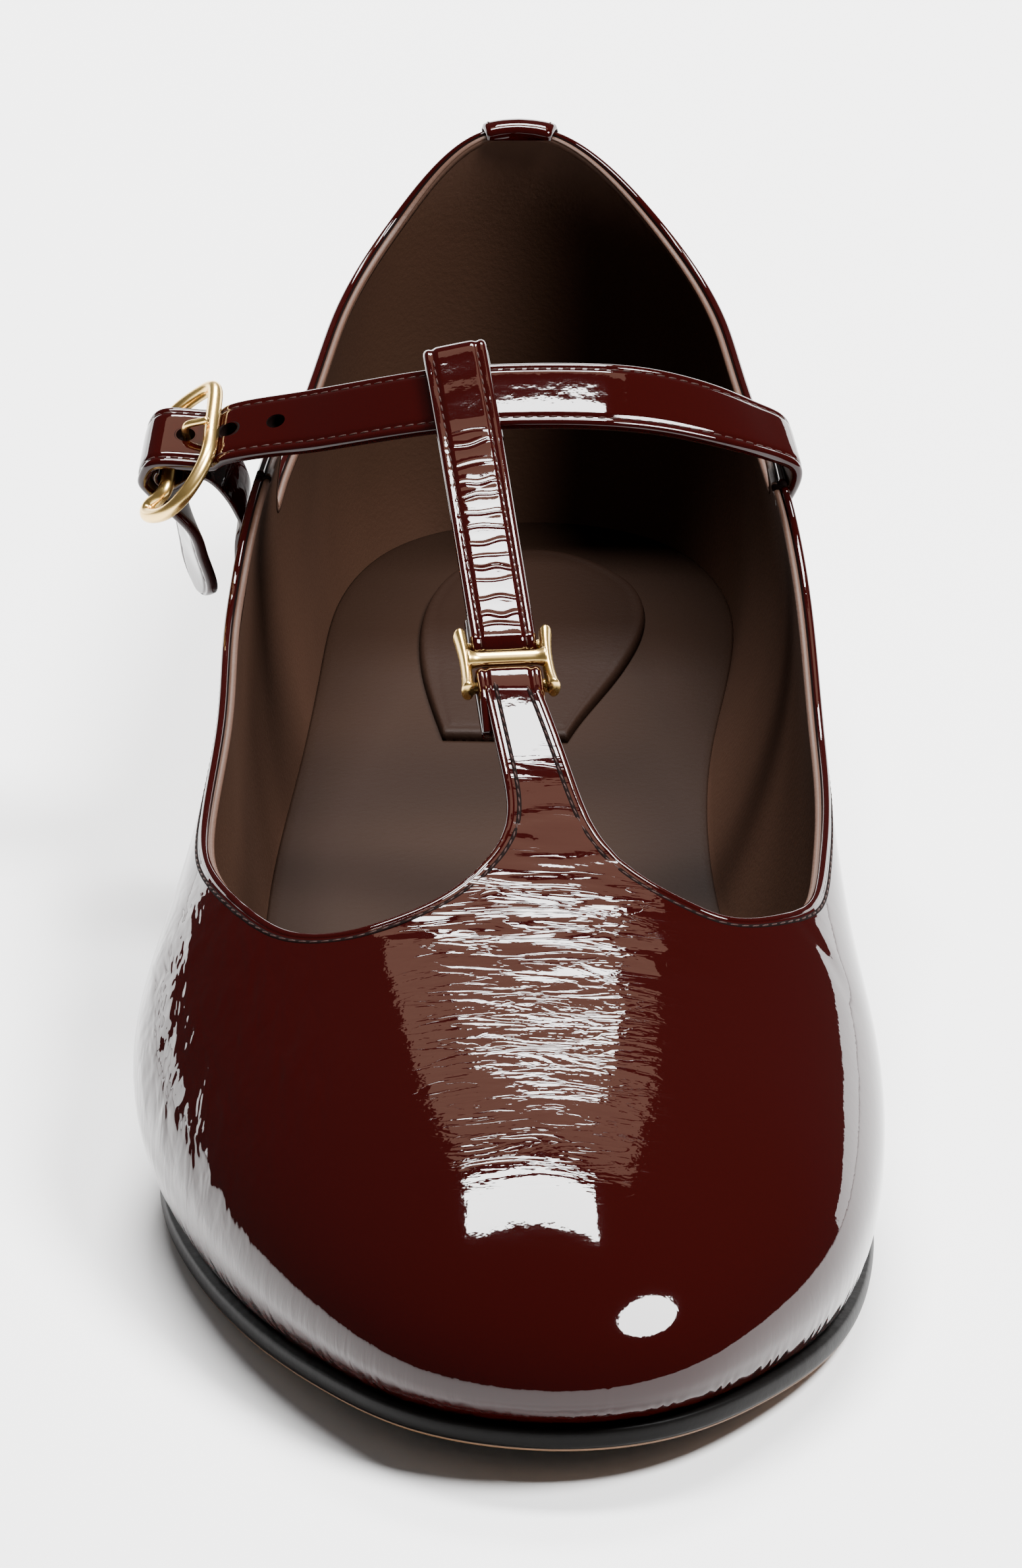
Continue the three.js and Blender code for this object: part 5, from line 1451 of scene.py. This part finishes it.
def layered(edge, at, bottom, thickness):
    rings = []
    for inset, share in edge:
        flat_ring = outline_point(at, np.full(len(at), inset))
        z = bottom(flat_ring[:, 1]) + share * thickness
        rings.append(np.concatenate([flat_ring, z[:, None]], axis=1))
    return np.array(rings)


rings = layered(SOLE_EDGE, sole_at, sole_bottom, OUTSOLE_THICKNESS)
rows, columns = rings.shape[:2]
sides = triangles(grid_faces(rows, columns))
bottom = zip_faces(columns, 0, True)
top = zip_faces(columns, (rows - 1) * columns, False)
per_row = np.repeat(SOLE_MATERIAL, columns)
index = np.concatenate([per_row, per_row, np.ones(len(bottom), int), np.zeros(len(top), int)])
points = rings.reshape(-1, 3)
sole_faces = outward(points, np.concatenate([sides, bottom, top]))
sole = mesh_object("leather_sole", points, sole_faces, [sole_black, sole_tan],
                   face_material=index)
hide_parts("outsole")

HEEL_BREAST = 4.15
HEEL_INSET = 0.9
heel_at = np.concatenate([np.linspace(HEEL_BREAST, 0, 90), LOOP - np.linspace(0, HEEL_BREAST, 90)[1:]])
breast_from = outline_point(heel_at[-1:], np.array([HEEL_INSET]))[0]
breast_to = outline_point(heel_at[:1], np.array([HEEL_INSET]))[0]
straight = breast_from + (breast_to - breast_from) * np.linspace(0, 1, 24)[1:-1, None]
# inset towards the middle of the heel seat and height share of each ring
HEEL_EDGE = np.array([[2.4, 0.0], [0.35, 0.0], [0.1, 0.08], [0.0, 0.3], [0.0, 1.0], [2.0, 1.0]])
heel_rings = []
for inset, share in HEEL_EDGE:
    arc = outline_point(np.mod(heel_at, LOOP), np.full(len(heel_at), HEEL_INSET))
    ring = np.concatenate([arc, straight])
    ring = ring - unit(ring) * inset
    z = np.full((len(ring), 1), share * (HEEL_LIFT - 0.05))
    heel_rings.append(np.concatenate([ring, z], axis=1))
points, faces = capped(np.array(heel_rings))
heel = mesh_object("heel_top_piece", points, faces, [heel_black])
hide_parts("heel_lift")

# %% [markdown]
# The footbed's rings shrink from the wall to the spine. The outermost ones round its edge
# off. The pad uses the same idea on its own outline, round one middle point.

# %% Footbed and heel pad
FOOT_COLUMNS = LOOP * 12
foot_at = np.arange(FOOT_COLUMNS) / 12


def insole_top(y):
    return sole_top(y) + SEAT_GAP + INSOLE_THICKNESS


wall_y = outline_point(foot_at, np.full(FOOT_COLUMNS, SOLE_MARGIN))[:, 1]
height = insole_top(wall_y)
edge = wall_point(foot_at, level_at(foot_at, height, LINING_DEPTH + 0.05), LINING_DEPTH + 0.05)
spine = last_loop(foot_at)[:, 2:4]
# share of the way to the spine, and lift of each ring of the footbed
BED_RINGS = np.array([
    [0.0, -1.9], [0.0, -0.5], [0.0, -0.12], [0.012, 0.0], [0.05, 0.02], [0.12, 0.0],
    [0.25, -0.04], [0.4, -0.06], [0.55, -0.08], [0.7, -0.08], [0.85, -0.08], [1.0, -0.08]])
bed = []
for share, lift in BED_RINGS:
    flat_ring = edge[:, :2] * (1 - share) + spine * share
    z = insole_top(flat_ring[:, 1]) + lift
    bed.append(np.concatenate([flat_ring, z[:, None]], axis=1))
bed = np.array(bed)
faces = triangles(grid_faces(len(bed), FOOT_COLUMNS))
faces = fold_row(faces, FOOT_COLUMNS, len(bed) - 1)
faces = np.concatenate([faces, zip_faces(FOOT_COLUMNS, 0, True)])
points, faces, _ = tidy(bed.reshape(-1, 3), faces)
foot_bed = mesh_object("foot_bed", points, outward(points, faces), [footbed])
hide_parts("insole")

# along and across of the pad's outline, from the lateral front corner round the heel
PAD = np.array([
    [0.282, -0.125], [0.19, -0.165], [0.117, -0.16], [0.073, -0.11], [0.056, -0.045],
    [0.056, 0.03], [0.082, 0.115], [0.108, 0.15], [0.158, 0.152], [0.25, 0.08], [0.283, 0.055],
])
PAD_THICKNESS = 1.0
flat_pad = np.stack([PAD[:, 1] * SOLE_WIDTH, along_y(PAD[:, 0])], -1)
arc = open_spline(flat_pad)(np.linspace(0, 1, 150))
front = arc[-1] + (arc[0] - arc[-1]) * np.linspace(0, 1, 40)[1:-1, None]
pad_outline = np.concatenate([arc, front])
pad_middle = pad_outline.mean(0)
# inset, and lift as a share of the pad's thickness
PAD_RINGS = np.array([
    [0.0, -0.3], [-0.1, 0.25], [0.05, 0.6], [0.25, 0.85], [0.6, 0.98], [1.3, 1.0],
    [1.8, 0.93], [2.3, 1.0], [4.0, 1.03]])
pad = []
for inset, lift in PAD_RINGS:
    ring = pad_outline - unit(pad_outline - pad_middle) * inset
    z = insole_top(ring[:, 1]) - 0.08 + lift * (PAD_THICKNESS + 0.2)
    pad.append(np.concatenate([ring, z[:, None]], axis=1))
for share in (0.6, 0.3, 0.02):
    ring = pad_middle + (pad[8][:, :2] - pad_middle) * share
    z = insole_top(ring[:, 1]) - 0.08 + 1.03 * (PAD_THICKNESS + 0.2)
    pad.append(np.concatenate([ring, z[:, None]], axis=1))
points, faces = capped(np.array(pad))
heel_pad = mesh_object("heel_pad", points, faces, [sock_leather])
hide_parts("heel_sock")

# %% [markdown]
# ## Camera, light and floor
# The camera stands far off, as in the photo, and looks down by 24.7 degrees. The floor is
# pale. Patent leather mirrors its studio, so four lights are flat ceiling panels that stand
# where the view, mirrored in the leather, meets the ceiling: two bright ones for the white
# patches of the vamp, a dim warm one between them, and an ellipse for the medial toe. A low
# wall of light behind the shoe draws the pale bands down both sides.

# %% Camera, floor and lights
AZIMUTH = 1.5
ELEVATION = 24.7
DISTANCE = 1700.0
TARGET = np.array([-0.8, -97.0, 28.3])
FOCAL_PIXELS = 22000.0
LONG_SIDE = 2380.0
SENSOR = 36.0

azimuth, elevation = math.radians(AZIMUTH), math.radians(ELEVATION)
back = np.array([math.sin(azimuth) * math.cos(elevation),
                 -math.cos(azimuth) * math.cos(elevation), math.sin(elevation)])
data = bpy.data.cameras.new("camera")
data.sensor_width = SENSOR
data.lens = FOCAL_PIXELS / LONG_SIDE * SENSOR
data.clip_end = 50.0
camera = bpy.data.objects.new("camera", data)
bpy.context.scene.collection.objects.link(camera)
camera.location = Vector((TARGET + back * DISTANCE) * MM)
camera.rotation_mode = "QUATERNION"
camera.rotation_quaternion = Vector(-back).to_track_quat("-Z", "Y")
bpy.context.scene.camera = camera

floor_mesh = bpy.data.meshes.new("floor")
reach = 6.0
floor_mesh.from_pydata([(-reach, -reach, 0), (reach, -reach, 0), (reach, reach, 0),
                        (-reach, reach, 0)], [], [(0, 1, 2, 3)])
floor_material, floor_node = shader("floor", (0.92, 0.92, 0.92), 0.9, specular=0.1)
floor_mesh.materials.append(floor_material)
floor = bpy.data.objects.new("floor", floor_mesh)
bpy.context.scene.collection.objects.link(floor)
floor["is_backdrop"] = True


def area_light(name, place, aim, size_x, size_y, power):
    light = bpy.data.lights.new(name, "AREA")
    light.shape = "RECTANGLE"
    light.size, light.size_y = size_x, size_y
    light.energy = power
    made = bpy.data.objects.new(name, light)
    bpy.context.scene.collection.objects.link(made)
    made.location = Vector(place)
    direction = Vector(aim) - Vector(place)
    made.rotation_mode = "QUATERNION"
    made.rotation_quaternion = direction.to_track_quat("-Z", "Y")
    return made


CEILING = 1.4


def ceiling_panel(name, x, y, size_x, size_y, radiance, tint=(1.0, 1.0, 1.0)):
    """Flat panel that faces straight down, with its power from its radiance. The leather
    mirrors it, so its edges are the edges of the highlights."""
    power = radiance * math.pi * size_x * size_y
    panel = area_light(name, (x, y, CEILING), (x, y, 0.0), size_x, size_y, power)
    panel.rotation_mode = "XYZ"
    panel.rotation_euler = (0.0, 0.0, 0.0)
    panel.data.color = tint
    return panel


ceiling_panel("far_panel", 0.0, 1.02, 0.57, 0.4, 62.0)
ceiling_panel("warm_panel", -0.02, 0.64, 0.94, 0.34, 2.4, (1.0, 0.62, 0.45))
ceiling_panel("near_panel", -0.08, 0.25, 0.72, 0.24, 84.0)
ceiling_panel("front_panel", 0.8, -0.4, 0.66, 0.6, 64.0).data.shape = "ELLIPSE"
area_light("back_wall", (0.0, 2.2, 0.27), (0.0, 0.0, 0.27), 7.0, 0.55, 76.0)

world = bpy.data.worlds.new("world")
world.use_nodes = True
background = world.node_tree.nodes["Background"]
background.inputs["Color"].default_value = (0.8, 0.78, 0.76, 1)
background.inputs["Strength"].default_value = 0.13
bpy.context.scene.world = world

# %% Sizes after dressing
size["visual"] = as_lists(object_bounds())
print("box of the dressed shoe in metres", size["visual"])
